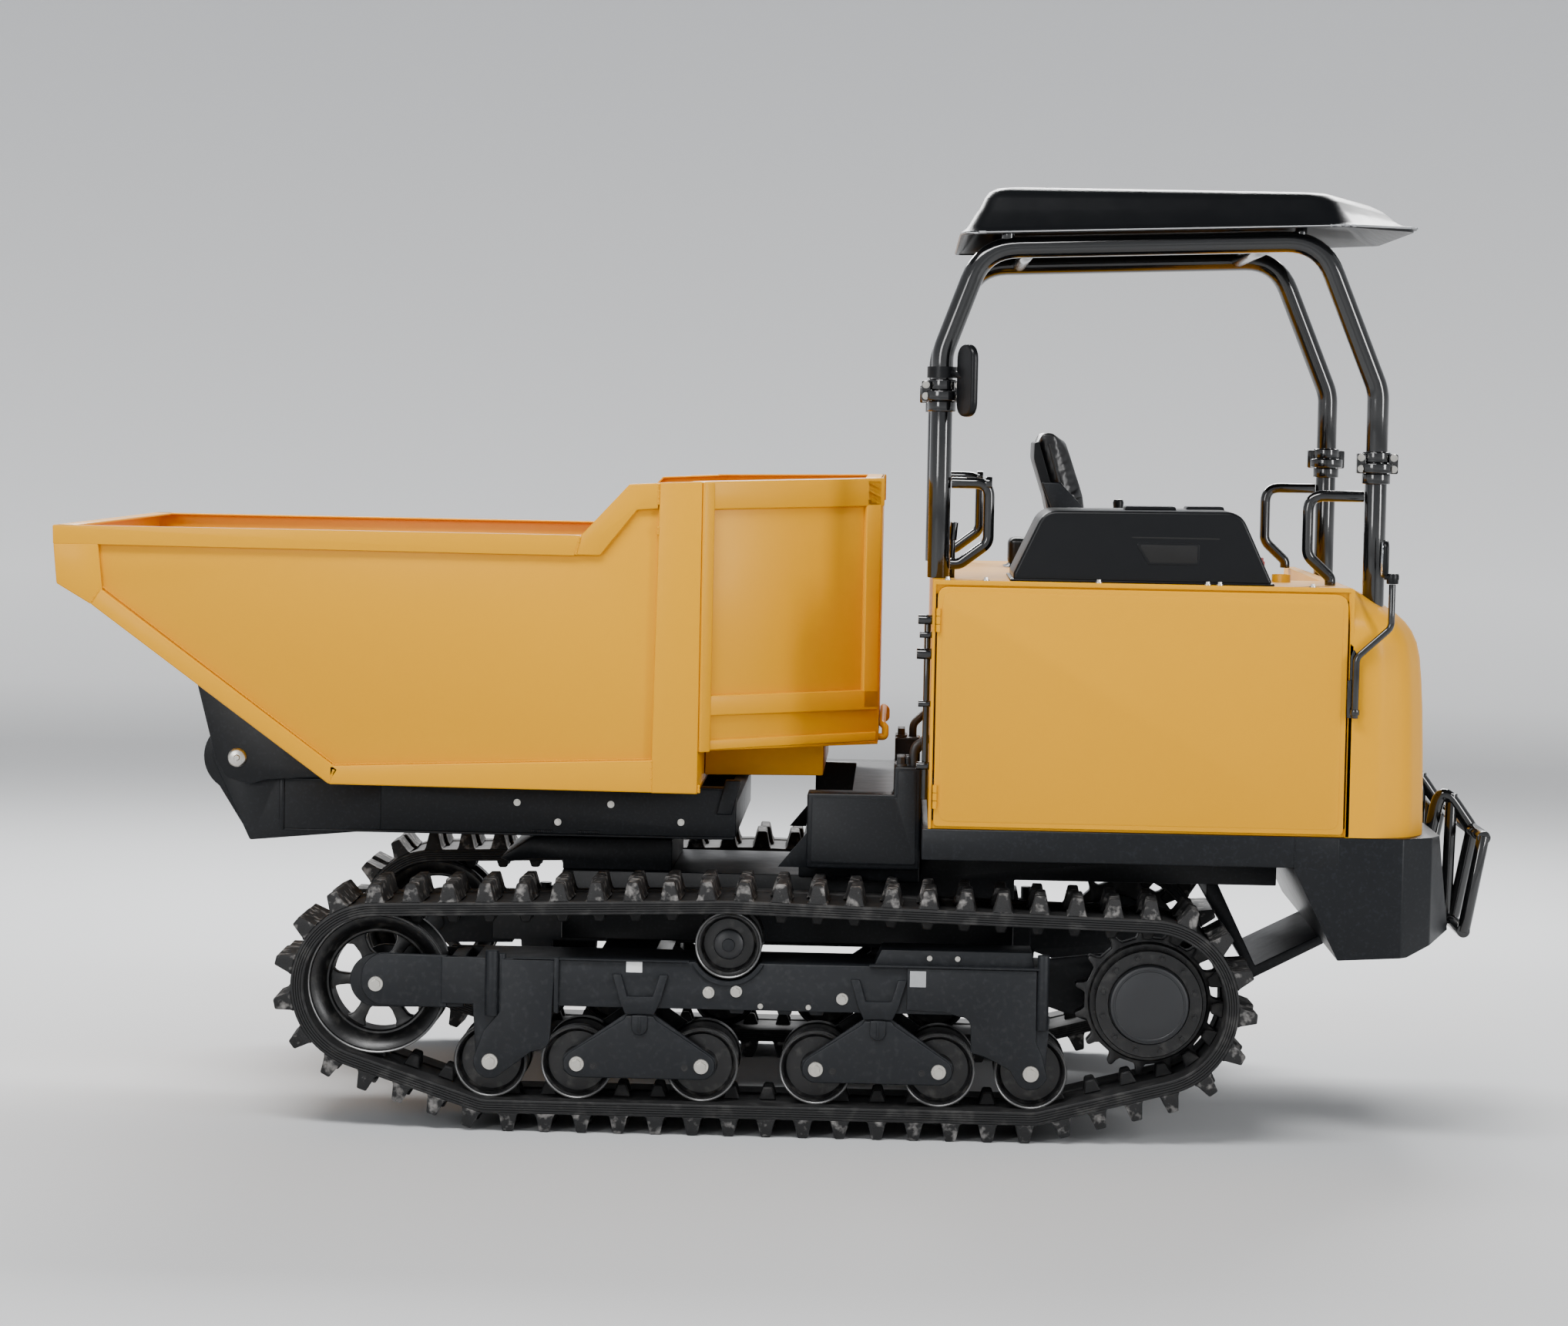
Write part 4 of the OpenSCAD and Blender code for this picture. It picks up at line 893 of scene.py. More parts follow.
place("subframe_bolts", dots, "skip_frame", plated, "bright_steel")
low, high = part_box("tip_pins")
pins = turned([(0, low.y), (0.018, low.y), (0.0215, low.y + 0.002), (0.0245, low.y + 0.006),
               (0.0245, -0.500), (0, -0.500)], Vector((-1.374, 0.903)), 0, 48)
add(pins, turned([(0.0085, low.y + 0.001), (0.0085, low.y - 0.0035), (0.0065, low.y - 0.005),
                  (0, low.y - 0.005)], Vector((-1.374, 0.903)), 0, 6))
add(pins, mirrored(pins.copy()))
place("tip_pin_heads", pins, "skip_frame", plated, "bright_steel", ["tip_pins"])

# ---------------------------------------------------------------- tipping cylinder
# A double-acting hydraulic ram with a welded rear eye, a gland nut, and a chromed rod.
chrome = finish("chromed_rod", (0.80, 0.80, 0.81), (0.06, 0.12), metal=1.0)
barrel = softened("cylinder_barrel", 0.003)
place("ram_barrel", barrel, "cylinder_barrel", satin_black, "black_paint", ["cylinder_barrel"])
place("ram_rod", softened("cylinder_rod", 0.002), "cylinder_rod", chrome, "bright_steel",
      ["cylinder_rod"])

# ---------------------------------------------------------------- chassis
# The lower frame and cross beams in plate, the engine frame above, and a deep front box folded
# from thick plate with cut corners, all in satin black with a fine orange-peel texture.
rest_of_frame = softened("chassis_frame", 0.003)
bmesh.ops.bisect_plane(rest_of_frame, geom=rest_of_frame.verts[:] + rest_of_frame.edges[:]
                       + rest_of_frame.faces[:], plane_co=(1.301, 0, 0), plane_no=(1, 0, 0),
                       clear_outer=True)
place("chassis_beams", rest_of_frame, "chassis", satin_black, "black_paint", ["chassis_frame"])
body_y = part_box("body_shell")[0].y
box_low = [(1.299, body_y), (1.570, body_y), (1.6485, body_y + 0.060), (1.7175, body_y + 0.210)]
box_plan = rounded(box_low + [(x, -y) for x, y in reversed(box_low)],
                   [0, 0.010, 0.02, 0.03, 0.03, 0.02, 0.010, 0], 4)
front_box = upright(box_plan, 0.470, 0.779, soft=0.004, steps=3)
for point, normal in (((1.410, 0, 0.480), (-0.894, 0, -0.449)),
                      ((1.586, 0, 0.482), (0.06, 0, -1)),
                      ((1.640, 0, 0.505), (0.392, 0, -0.920)),
                      ((1.708, 0, 0.534), (0.990, 0, 0.140))):
    cut = bmesh.ops.bisect_plane(front_box, geom=front_box.verts[:] + front_box.edges[:]
                                 + front_box.faces[:], plane_co=point, plane_no=normal,
                                 clear_outer=True)
    rims = [g for g in cut["geom_cut"] if isinstance(g, bmesh.types.BMEdge)]
    bmesh.ops.holes_fill(front_box, edges=rims)
bmesh.ops.recalc_face_normals(front_box, faces=front_box.faces)
sharp = [e for e in front_box.edges if e.is_manifold and e.calc_face_angle(0) > 0.45]
bmesh.ops.bevel(front_box, geom=sharp, offset=0.005, offset_type="OFFSET", segments=3,
                profile=0.5, affect="EDGES", clamp_overlap=True, material=-1)
place("front_box", front_box, "chassis", satin_black, "black_paint")
rail_mesh = slab([(0.376, 0.7015), (1.412, 0.7015), (1.412, 0.7765), (0.376, 0.7765)],
                 body_y - 0.0008, body_y + 0.012, soft=0.003)
add(rail_mesh, bead([(1.302, body_y - 0.0006, 0.703), (1.302, body_y - 0.0006, 0.775)], 0.002))
add(rail_mesh, mirrored(rail_mesh.copy()))
place("side_rails", rail_mesh, "chassis", satin_black, "black_paint")
place("belly_guard_plate", softened("belly_guard", 0.003), "chassis", satin_black,
      "black_paint", ["belly_guard"])
place("slew_pedestal_casting", softened("slew_pedestal", 0.004), "chassis", satin_black,
      "black_paint", ["slew_pedestal"])
ring_bolts = bmesh.new()
for i in range(24):
    a = 2 * math.pi * i / 24
    head = bmesh.new()
    bmesh.ops.create_cone(head, cap_ends=True, segments=6, radius1=0.011, radius2=0.0105,
                          depth=0.012)
    bmesh.ops.translate(head, verts=head.verts, vec=(-0.457 + 0.228 * math.cos(a),
                                                     0.228 * math.sin(a), 0.7075))
    add(ring_bolts, head)
place("slew_ring_bolts", ring_bolts, "chassis", plated, "bright_steel")

# valve box: a pressed cover over the hydraulic valves, with hose tails at its top
hose = finish("hydraulic_hose", (0.012, 0.012, 0.013), (0.45, 0.6), grain=(600, 0.5, 0.0006),
              blotch=0.15)
low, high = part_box("valve_box")
cover = softened("valve_box", 0.006, steps=3)
for sign in (-1, 1):
    add(cover, slab([(0.010, 0.652), (0.084, 0.652), (0.084, 0.742)], sign * 0.548 - 0.004,
                    sign * 0.548 + 0.004, soft=0.001))
    add(cover, slab(rounded([(0.094, 0.664), (0.360, 0.664), (0.360, 0.905), (0.312, 0.905),
                             (0.312, 0.833), (0.094, 0.833)], 0.010),
                    sign * 0.5600 - 0.0015, sign * 0.5600 + 0.0015, soft=0.001))
place("valve_cover", cover, "chassis", satin_black, "black_paint", ["valve_box"])
fittings = bmesh.new()
for x, y, z in ((0.318, -0.47, 0.915), (0.318, -0.505, 0.915), (0.318, -0.54, 0.915),
                (0.318, 0.47, 0.915), (0.318, 0.505, 0.915), (0.318, 0.54, 0.915)):
    for r, z0, z1, n in ((0.017, z - 0.002, z + 0.006, 24), (0.012, z + 0.006, z + 0.024, 6)):
        head = bmesh.new()
        bmesh.ops.create_cone(head, cap_ends=True, segments=n, radius1=r, radius2=r * 0.95,
                              depth=z1 - z0)
        bmesh.ops.translate(head, verts=head.verts, vec=(x, y, (z0 + z1) / 2))
        add(fittings, head)
place("valve_fittings", fittings, "chassis", hub_paint, "black_paint")
hoses = bmesh.new()
for y, drop in ((-0.53, 0.0), (-0.49, 0.02), (-0.46, 0.01), (0.50, 0.015)):
    add(hoses, round_bar([(0.350, y, 0.905), (0.350, y, 0.965 - drop), (0.388, y + 0.02, 0.985)],
                         0.011, 0.03, 14))
place("valve_hoses", hoses, "chassis", hose, "rubber")

# ---------------------------------------------------------------- engine body
# A sheet-steel enclosure: flat deck and rear wall, fenders with rounded shoulders, a hinged
# hood between them, and large side doors with folded edges. All powder coated yellow.
shell = softened("body_shell", 0.0015, steps=1)
bmesh.ops.bisect_plane(shell, geom=shell.verts[:] + shell.edges[:] + shell.faces[:],
                       plane_co=(1.4335, 0, 0), plane_no=(1, 0, 0), clear_outer=True)
place("body_sheets", shell, "chassis", yellow, "yellow_paint", ["body_shell"])

nose_half = [(1.4255, body_y), (1.500, body_y), (1.585, body_y + 0.040), (1.632, body_y + 0.130),
             (1.6465, body_y + 0.300), (1.6500, body_y + 0.520)]
nose_plan = rounded(nose_half + [(x, -y) for x, y in reversed(nose_half)],
                    [0, 0.12, 0.09, 0.12, 0.3, 0.4, 0.4, 0.3, 0.12, 0.09, 0.12, 0], 6)
levels = [(0.7795, 1.0), (0.813, 1.0), (0.905, 0.992), (1.013, 0.978), (1.100, 0.962),
          (1.170, 0.940), (1.225, 0.913), (1.262, 0.872), (1.290, 0.812), (1.312, 0.735),
          (1.330, 0.640), (1.347, 0.520), (1.362, 0.395), (1.376, 0.265), (1.389, 0.130),
          (1.398, 0.030)]
nose_mesh = bmesh.new()
ring = [nose_mesh.verts.new((x, y, levels[0][0])) for x, y in nose_plan]
line = [nose_mesh.edges.new((ring[i], ring[i + 1])) for i in range(len(ring) - 1)]
for (z0, k0), (z1, k1) in zip(levels, levels[1:]):
    out = bmesh.ops.extrude_edge_only(nose_mesh, edges=line)
    moved = verts_of(out)
    held = set(moved)
    line = [g for g in out["geom"] if isinstance(g, bmesh.types.BMEdge)
            and all(v in held for v in g.verts)]
    bmesh.ops.translate(nose_mesh, verts=moved, vec=(0, 0, z1 - z0))
    bmesh.ops.scale(nose_mesh, verts=moved, vec=(k1 / k0, 1, 1),
                    space=Matrix.Translation((-1.4255, 0, 0)))
for v in nose_mesh.verts:
    drop = max(0.0, min(1.0, (v.co.z - 1.255) / 0.12))
    reach = max(0.0, min(1.0, (v.co.x - 1.4255) / 0.05))
    if abs(v.co.y) > 0.5:
        v.co.y -= math.copysign(0.075 * drop * drop * reach, v.co.y)
bmesh.ops.recalc_face_normals(nose_mesh, faces=nose_mesh.faces)
if sum(f.normal.x for f in nose_mesh.faces) < 0:
    bmesh.ops.reverse_faces(nose_mesh, faces=nose_mesh.faces)


def cut_away(mesh, point, normal):
    """Keeps the side of a plane that its normal points away from."""
    bmesh.ops.bisect_plane(mesh, geom=mesh.verts[:] + mesh.edges[:] + mesh.faces[:],
                           plane_co=point, plane_no=normal, clear_outer=True)
    return mesh


def walled(mesh, thick):
    """Gives an outer skin its sheet thickness, inwards."""
    bmesh.ops.solidify(mesh, geom=mesh.faces[:], thickness=thick)
    return mesh


hood = cut_away(nose_mesh.copy(), (0, -0.5935, 0), (0, -1, 0))
hood = cut_away(cut_away(hood, (0, 0.5935, 0), (0, 1, 0)), (0, 0, 0.9065), (0, 0, -1))
hood = cut_away(hood, (1.4275, 0, 0), (-1, 0, 0))
place("hood_skin", walled(hood, 0.007), "front_hood", yellow, "yellow_paint", ["front_hood"], 40)
apron = cut_away(nose_mesh.copy(), (0, 0, 0.9015), (0, 0, 1))
apron = cut_away(cut_away(apron, (0, -0.5985, 0), (0, -1, 0)), (0, 0.5985, 0), (0, 1, 0))
fender = cut_away(nose_mesh, (0, -0.5985, 0), (0, 1, 0))
far_fender = mirrored(fender.copy())
shells = walled(add(add(apron, fender), far_fender), 0.007)
place("fender_skins", shells, "chassis", yellow, "yellow_paint", [], 40)

for side, sign in sides:
    right_edge = 1.4195 if side == "right" else 1.0455
    panel = rounded([(0.4015, 0.7855), (right_edge, 0.7855), (right_edge, 1.3835),
                     (0.4015, 1.3835)], [0.012, 0.012, 0.035, 0.028], 6)
    door = slab(panel, body_y + 0.0003, body_y + 0.006, soft=0.0025, steps=3)
    field = rounded([(0.4145, 0.7985), (right_edge - 0.013, 0.7985), (right_edge - 0.013, 1.3705),
                     (0.4145, 1.3705)], 0.028, 6)
    add(door, slab(field, body_y - 0.0006, body_y + 0.003, soft=0.0006, steps=2))
    for z in (0.830, 1.270):
        knuckle = bmesh.new()
        for k in range(3):
            leaf = bmesh.new()
            bmesh.ops.create_cone(leaf, cap_ends=True, segments=24, radius1=0.0058,
                                  radius2=0.0058, depth=0.0185)
            bmesh.ops.translate(leaf, verts=leaf.verts,
                                vec=(0.404, body_y - 0.003, z + 0.010 + k * 0.020))
            add(knuckle, leaf)
        add(door, knuckle)
    if sign > 0:
        mirrored(door)
    place("side_door_skin_" + side, door, "side_door_" + side, yellow, "yellow_paint",
          ["side_door_" + side])

gloss_black = finish("gloss_black_paint", (0.0028, 0.0030, 0.0034), (0.10, 0.20), coat=0.7,
                     coat_rough=0.06, blotch=0.1, grain=(90, 0.05, 0.0006))
latch = slab(rounded([(1.4205, 1.078), (1.4345, 1.078), (1.4345, 1.172), (1.4205, 1.172)], 0.005),
             body_y - 0.006, body_y + 0.004, soft=0.003, steps=3)
add(latch, slab(rounded([(1.4265, 1.168), (1.4415, 1.168), (1.4415, 1.238), (1.4345, 1.250),
                         (1.4265, 1.225)], 0.003), body_y - 0.0015, body_y + 0.004, soft=0.001))
add(latch, mirrored(latch.copy()))
place("door_latches", latch, "chassis", gloss_black, "black_plastic")
clips = bmesh.new()
for x in (0.425, 0.52, 0.80, 1.07, 1.10, 1.33):
    for size, z0, z1 in ((0.009, 1.3995, 1.4030), (0.0055, 1.4030, 1.4085)):
        head = bmesh.new()
        bmesh.ops.create_cone(head, cap_ends=True, segments=16 if size > 0.006 else 6,
                              radius1=size, radius2=size * 0.92, depth=z1 - z0)
        bmesh.ops.translate(head, verts=head.verts, vec=(x, body_y + 0.012, (z0 + z1) / 2))
        add(clips, head)
place("deck_bolts", clips, "chassis", plated, "bright_steel")
edge_parts = bmesh.new()
for z, r in ((1.300, 0.012), (1.262, 0.008), (1.215, 0.014), (1.090, 0.008), (0.935, 0.010)):
    add(edge_parts, round_bar([(0.389, body_y + 0.02, z), (0.366 - r, body_y + 0.02, z)], r))
add(edge_parts, round_bar([(0.378, body_y + 0.028, 1.310), (0.378, body_y + 0.028, 0.850)],
                          0.008))
place("rear_edge_hardware", edge_parts, "chassis", gloss_black, "black_paint")

# ---------------------------------------------------------------- engine and radiator
# A small cast diesel with a pressed rocker cover, pulley and fan, painted grey, ahead of a
# finned core in a steel frame. They show when the hood or a door is open.
cast_grey = finish("cast_grey", (0.16, 0.17, 0.18), (0.45, 0.65), grain=(240, 0.6, 0.002),
                   blotch=0.1)
block = softened("engine", 0.008, steps=3)
for x in (0.68, 0.76, 0.84, 0.92):
    add(block, slab([(x, 0.90), (x + 0.022, 0.90), (x + 0.022, 1.13), (x, 1.13)], -0.238, 0.238,
                    soft=0.006))
pipes = bmesh.new()
for x in (0.70, 0.78, 0.86, 0.94):
    add(pipes, round_bar([(x, -0.225, 1.10), (x, -0.268, 1.12), (x, -0.268, 1.20),
                          (x, -0.10, 1.235)], 0.007, 0.02, 12))
add(block, pipes)
studs(block, [(0.64, 0.89), (0.99, 0.89), (0.64, 1.12), (0.99, 1.12), (0.815, 0.88)], -0.230,
      0.008, 0.008)
place("engine_block", block, "chassis", cast_grey, "engine_grey", ["engine"])
low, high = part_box("radiator")
core = bmesh.new()
for z0, z1 in ((low.z, low.z + 0.06), (high.z - 0.06, high.z)):
    add(core, slab([(low.x, z0), (high.x, z0), (high.x, z1), (low.x, z1)], low.y, high.y,
                   soft=0.012, steps=3))
for y in (low.y, high.y - 0.02):
    add(core, slab([(low.x + 0.005, low.z + 0.05), (high.x - 0.005, low.z + 0.05),
                    (high.x - 0.005, high.z - 0.05), (low.x + 0.005, high.z - 0.05)], y, y + 0.02,
                   soft=0.002))
fin_count = 90
for i in range(fin_count):
    y = low.y + 0.022 + (high.y - low.y - 0.044) * i / (fin_count - 1)
    add(core, slab([(low.x + 0.012, low.z + 0.06), (high.x - 0.012, low.z + 0.06),
                    (high.x - 0.012, high.z - 0.06), (low.x + 0.012, high.z - 0.06)], y - 0.0008,
                   y + 0.0008, soft=0))
place("radiator_core", core, "chassis", hub_paint, "black_paint", ["radiator"])

# ---------------------------------------------------------------- operator's consoles
# Moulded plastic covers with rounded shoulders and a fine leather grain, on the deck beside the
# seat; the right one has two pads on its top and a raised rim round its finger pocket. The pocket
# and a vent slot are painted shade: flat near-black patches, not recesses.
moulded = finish("moulded_plastic", (0.0040, 0.0044, 0.0052), (0.26, 0.38),
                 grain=(700, 0.30, 0.0005), blotch=0.10, blotch_size=5, spec=0.24)
painted_recess_shade = finish("painted_recess_shade", (0.002, 0.002, 0.002), (0.75, 0.9))
low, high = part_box("console_right")
cover = slab(rounded([(0.588, 1.4005), (0.588, 1.420), (0.661, 1.577), (1.149, 1.582),
                      (1.2285, 1.412), (1.2285, 1.4005)], [0, 0.012, 0.055, 0.055, 0.012, 0], 8),
             low.y, -0.350, soft=0.030, steps=6)
add(cover, slab([(0.580, 1.4002), (1.236, 1.4002), (1.236, 1.4062), (0.580, 1.4062)],
                low.y - 0.004, -0.346, soft=0.002))
add(cover, slab(rounded([(0.950, 1.401), (1.110, 1.401), (1.110, 1.470), (0.950, 1.470)], 0.018),
                -0.352, -0.282, soft=0.012, steps=4))
for x0, x1, y in ((0.868, 1.000, -0.60), (1.030, 1.130, -0.47)):
    add(cover, slab(rounded([(x0, 1.577), (x1, 1.578), (x1 - 0.004, 1.589), (x0 + 0.004, 1.588)],
                            0.004), y, y + 0.11, soft=0.004, steps=3))
rim_line = rounded([(0.888, 1.502), (1.048, 1.502), (1.048, 1.448), (0.922, 1.448)], 0.008)
add(cover, slab(rim_line, low.y - 0.0015, low.y + 0.004, soft=0.0014))
place("console_cover_right", cover, "chassis", moulded, "black_plastic", ["console_right"], 40)
# Painted shade: the finger pocket and vent slot are thin near-black plates just proud of the cover,
# standing for the shade in recesses that are not modelled.
pocket = slab(rounded([(0.898, 1.497), (1.043, 1.497), (1.043, 1.453), (0.926, 1.453)], 0.006),
              low.y - 0.0019, low.y + 0.002, soft=0.0004)
add(pocket, slab(rounded([(0.880, 1.5165), (1.098, 1.5165), (1.098, 1.5125), (0.880, 1.5125)],
                         0.0018), low.y - 0.0006, low.y + 0.003, soft=0.0003))
place("console_pocket_painted_shade", pocket, "chassis", painted_recess_shade, "black_plastic")
place("console_cover_left", softened("console_left", 0.018, steps=5), "chassis", moulded,
      "black_plastic", ["console_left"])

# joysticks: pleated rubber boots, steel stems and shaped grips
for side in ("right", "left"):
    low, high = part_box("joystick_" + side)
    x, y = (low.x + high.x) / 2, (low.y + high.y) / 2
    profile = [(0.0001, low.z)]
    for k in range(6):
        z = low.z + 0.004 + k * 0.0048
        profile += [(0.0145 - k * 0.0012, z), (0.0118 - k * 0.0012, z + 0.0024)]
    profile += [(0.0065, low.z + 0.036), (0.0065, low.z + 0.058), (0.0125, low.z + 0.062),
                (0.0148, low.z + 0.070), (0.0135, low.z + 0.082), (0.0150, low.z + 0.096),
                (0.0125, high.z - 0.002), (0.006, high.z), (0.0001, high.z)]
    stick = bmesh.new()
    spun = [stick.verts.new((x + r, y, z)) for r, z in profile]
    lines = [stick.edges.new((spun[i], spun[i + 1])) for i in range(len(spun) - 1)]
    bmesh.ops.spin(stick, geom=spun + lines, cent=(x, y, 0), axis=(0, 0, 1), angle=2 * math.pi,
                   steps=32, use_merge=True)
    bmesh.ops.remove_doubles(stick, verts=stick.verts, dist=2e-4)
    bmesh.ops.recalc_face_normals(stick, faces=stick.faces)
    place("joystick_grip_" + side, stick, "joystick_" + side, moulded, "black_plastic",
          ["joystick_" + side])

# fuel cap: a ribbed red moulding with a raised grip bar
red = finish("red_plastic", (0.30, 0.012, 0.014), (0.25, 0.4), grain=(500, 0.15, 0.0004),
             blotch=0.08)
low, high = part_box("fuel_cap")
cap_at = Vector(((low.x + high.x) / 2, (low.y + high.y) / 2))
cap = bmesh.new()
ribs = []
for i in range(32):
    a = 2 * math.pi * i / 32
    for da, r in ((-0.06, 0.0335), (0.03, 0.0335), (0.07, 0.0312), (0.12, 0.0312)):
        ribs.append((cap_at.x + r * math.cos(a + da), cap_at.y + r * math.sin(a + da)))
add(cap, upright(ribs, low.z, high.z - 0.010, soft=0.0008, steps=1))
grip = [(cap_at.x - 0.030, cap_at.y - 0.007), (cap_at.x + 0.030, cap_at.y - 0.007),
        (cap_at.x + 0.030, cap_at.y + 0.007), (cap_at.x - 0.030, cap_at.y + 0.007)]
add(cap, upright(rounded(grip, 0.006), high.z - 0.012, high.z, soft=0.0025, steps=3))
place("fuel_cap_moulding", cap, "fuel_cap", red, "red_plastic", ["fuel_cap"])

# ---------------------------------------------------------------- seat
# A steel base and moulded shell, with a foam cushion and back sewn in black vinyl. The pads are
# blown up by a short cloth run, and piping is laid along the back's edges afterwards.
vinyl = finish("seat_vinyl", (0.0045, 0.0046, 0.0052), (0.26, 0.40), grain=(420, 0.45, 0.0007),
               blotch=0.12, blotch_size=12, spec=0.5, coat=0.12, coat_rough=0.25)
place("seat_frame", softened("seat_base", 0.004), "seat", satin_black, "black_paint",
      ["seat_base"])


def pad(name, outline, near, far, cap, body, taken):
    """A foam pad: a rounded block inflated as cloth, each point held to a short travel."""
    mesh = slab(outline, near, far, soft=0.022, steps=4)
    data = bpy.data.meshes.new(name)
    mesh.to_mesh(data)
    mesh.free()
    made = bpy.data.objects.new(name, data)
    bpy.context.scene.collection.objects.link(made)
    data.materials.append(vinyl)
    bpy.context.view_layer.objects.active = made
    remesh = made.modifiers.new("remesh", "REMESH")
    remesh.mode = "VOXEL"
    remesh.voxel_size = 0.0065
    graph = bpy.context.evaluated_depsgraph_get()
    solid = bpy.data.meshes.new_from_object(made.evaluated_get(graph))
    made.modifiers.clear()
    made.data = solid
    if not solid.materials:
        solid.materials.append(vinyl)
    start = [v.co.copy() for v in solid.vertices]
    cloth = made.modifiers.new("cloth", "CLOTH")
    cloth.settings.quality = 4
    cloth.settings.mass = 0.25
    cloth.settings.tension_stiffness = 14
    cloth.settings.compression_stiffness = 14
    cloth.settings.bending_stiffness = 0.6
    cloth.settings.use_pressure = True
    cloth.settings.uniform_pressure_force = 4.0
    cloth.settings.effector_weights.gravity = 0.0
    cloth.collision_settings.use_collision = False
    for frame_number in range(1, 21):
        bpy.context.scene.frame_set(frame_number)
    graph = bpy.context.evaluated_depsgraph_get()
    blown = bpy.data.meshes.new_from_object(made.evaluated_get(graph))
    made.modifiers.clear()
    made.data = blown
    bpy.context.scene.frame_set(1)
    for v, was in zip(blown.vertices, start):
        travel = v.co - was
        if travel.length > cap:
            v.co = was + travel.normalized() * cap
    smooth = made.modifiers.new("smooth", "SUBSURF")
    smooth.levels = smooth.render_levels = 1
    made.data.shade_smooth()
    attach(made, body)
    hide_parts(taken)
    return made


low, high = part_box("seat_cushion")
pad("seat_cushion_pad", rounded([(low.x + 0.012, low.z + 0.004), (high.x - 0.022, low.z + 0.004),
                                 (high.x - 0.014, high.z - 0.030), (high.x - 0.050, high.z - 0.014),
                                 (low.x + 0.060, high.z - 0.022), (low.x + 0.012, high.z - 0.012)],
                                0.012), low.y + 0.014, high.y - 0.014, 0.024, "seat",
    "seat_cushion")
pad("seat_back_pad", rounded([(0.735, 1.492), (0.776, 1.492), (0.760, 1.600), (0.702, 1.772),
                              (0.664, 1.772), (0.694, 1.640), (0.712, 1.560)],
                             [0.008, 0.02, 0.05, 0.018, 0.014, 0.05, 0.05]),
    -0.180, 0.180, 0.022, "seat_back", "seat_back")
back_shell = slab(rounded([(0.716, 1.486), (0.736, 1.486), (0.716, 1.560), (0.694, 1.640),
                           (0.662, 1.745), (0.651, 1.742), (0.650, 1.700), (0.682, 1.600)],
                          [0.004, 0.006, 0.05, 0.05, 0.006, 0.01, 0.05, 0.08]), -0.178, 0.178,
                  soft=0.005, steps=3)
place("seat_back_shell", back_shell, "seat_back", moulded, "black_plastic", [], 40)
piping = bmesh.new()
for y in (-0.186, 0.186):
    add(piping, round_bar([(0.748, y, 1.500), (0.730, y, 1.590), (0.690, y, 1.740)], 0.0042,
                          0.05, 10))
place("seat_back_piping", piping, "seat_back", vinyl, "seat_vinyl")

# ---------------------------------------------------------------- canopy frame
# Four 55 mm tube posts in gloss black. The upper hoops are bent in one piece over the operator
# and join the stub posts in two-piece collars with bright bolts.
tube_r = (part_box("lower_posts")[1].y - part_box("lower_posts")[0].y) / 2 - 0.640
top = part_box("canopy_roof")[1].z
stubs, hoops, bands_mesh, collar_bolts = bmesh.new(), bmesh.new(), bmesh.new(), bmesh.new()
post_y = -0.640
for x, z0, z1 in ((0.402, 1.4, 1.858), (1.493, 1.350, 1.697)):
    add(stubs, round_bar([(x, post_y, z0), (x, post_y, z1)], tube_r, steps=36))
hoop = [(0.402, post_y, 1.858), (0.402, post_y, 1.966), (0.499, post_y, top - 0.161),
        (1.341, post_y, top - 0.129), (1.493, post_y, 1.889), (1.493, post_y, 1.697)]
add(hoops, round_bar(hoop, tube_r, 0.13, 36))
for x in (0.560, 1.290):
    add(hoops, round_bar([(x, post_y, top - 0.155), (x, post_y, top - 0.088)], 0.016))
for x, z in ((0.402, 1.858), (1.493, 1.697)):
    for z0, z1, r in ((-0.040, -0.014, 0.0355), (-0.012, 0.012, 0.046), (0.014, 0.040, 0.0355)):
        ring = bmesh.new()
        bmesh.ops.create_cone(ring, cap_ends=True, segments=48, radius1=r, radius2=r,
                              depth=z1 - z0)
        rims = [e for e in ring.edges if e.calc_face_angle(0) > 1]
        bmesh.ops.bevel(ring, geom=rims, offset=0.003, offset_type="OFFSET", segments=3,
                        profile=0.5, affect="EDGES", clamp_overlap=True, material=-1)
        bmesh.ops.translate(ring, verts=ring.verts, vec=(x, post_y, z + (z0 + z1) / 2))
        add(bands_mesh, ring)
    for dx in (-0.0405, 0.0405):
        lug = slab(rounded([(x + dx - 0.011, z - 0.014), (x + dx + 0.011, z - 0.014),
                            (x + dx + 0.011, z + 0.036), (x + dx - 0.011, z + 0.036)], 0.005),
                   post_y - 0.026, post_y - 0.002, soft=0.002)
        add(bands_mesh, lug)
        studs(collar_bolts, [(x + dx, z + 0.026)], post_y - 0.026, 0.0062, 0.007)
        studs(collar_bolts, [(x + dx, z - 0.002)], post_y - 0.026, 0.0062, 0.007)
for mesh in (stubs, hoops, bands_mesh, collar_bolts):
    add(mesh, mirrored(mesh.copy()))
for x in (0.620, 1.230):
    z = top - 0.161 + (x - 0.499) * 0.038
    add(hoops, round_bar([(x, post_y, z), (x, -post_y, z)], 0.018))
place("post_stubs", stubs, "chassis", gloss_black, "black_paint", ["lower_posts"], 40)
place("canopy_hoops", hoops, "chassis", gloss_black, "black_paint", ["upper_frame"], 40)
place("post_collars", bands_mesh, "chassis", gloss_black, "black_paint", ["post_clamps"])
place("collar_bolts", collar_bolts, "chassis", plated, "bright_steel")

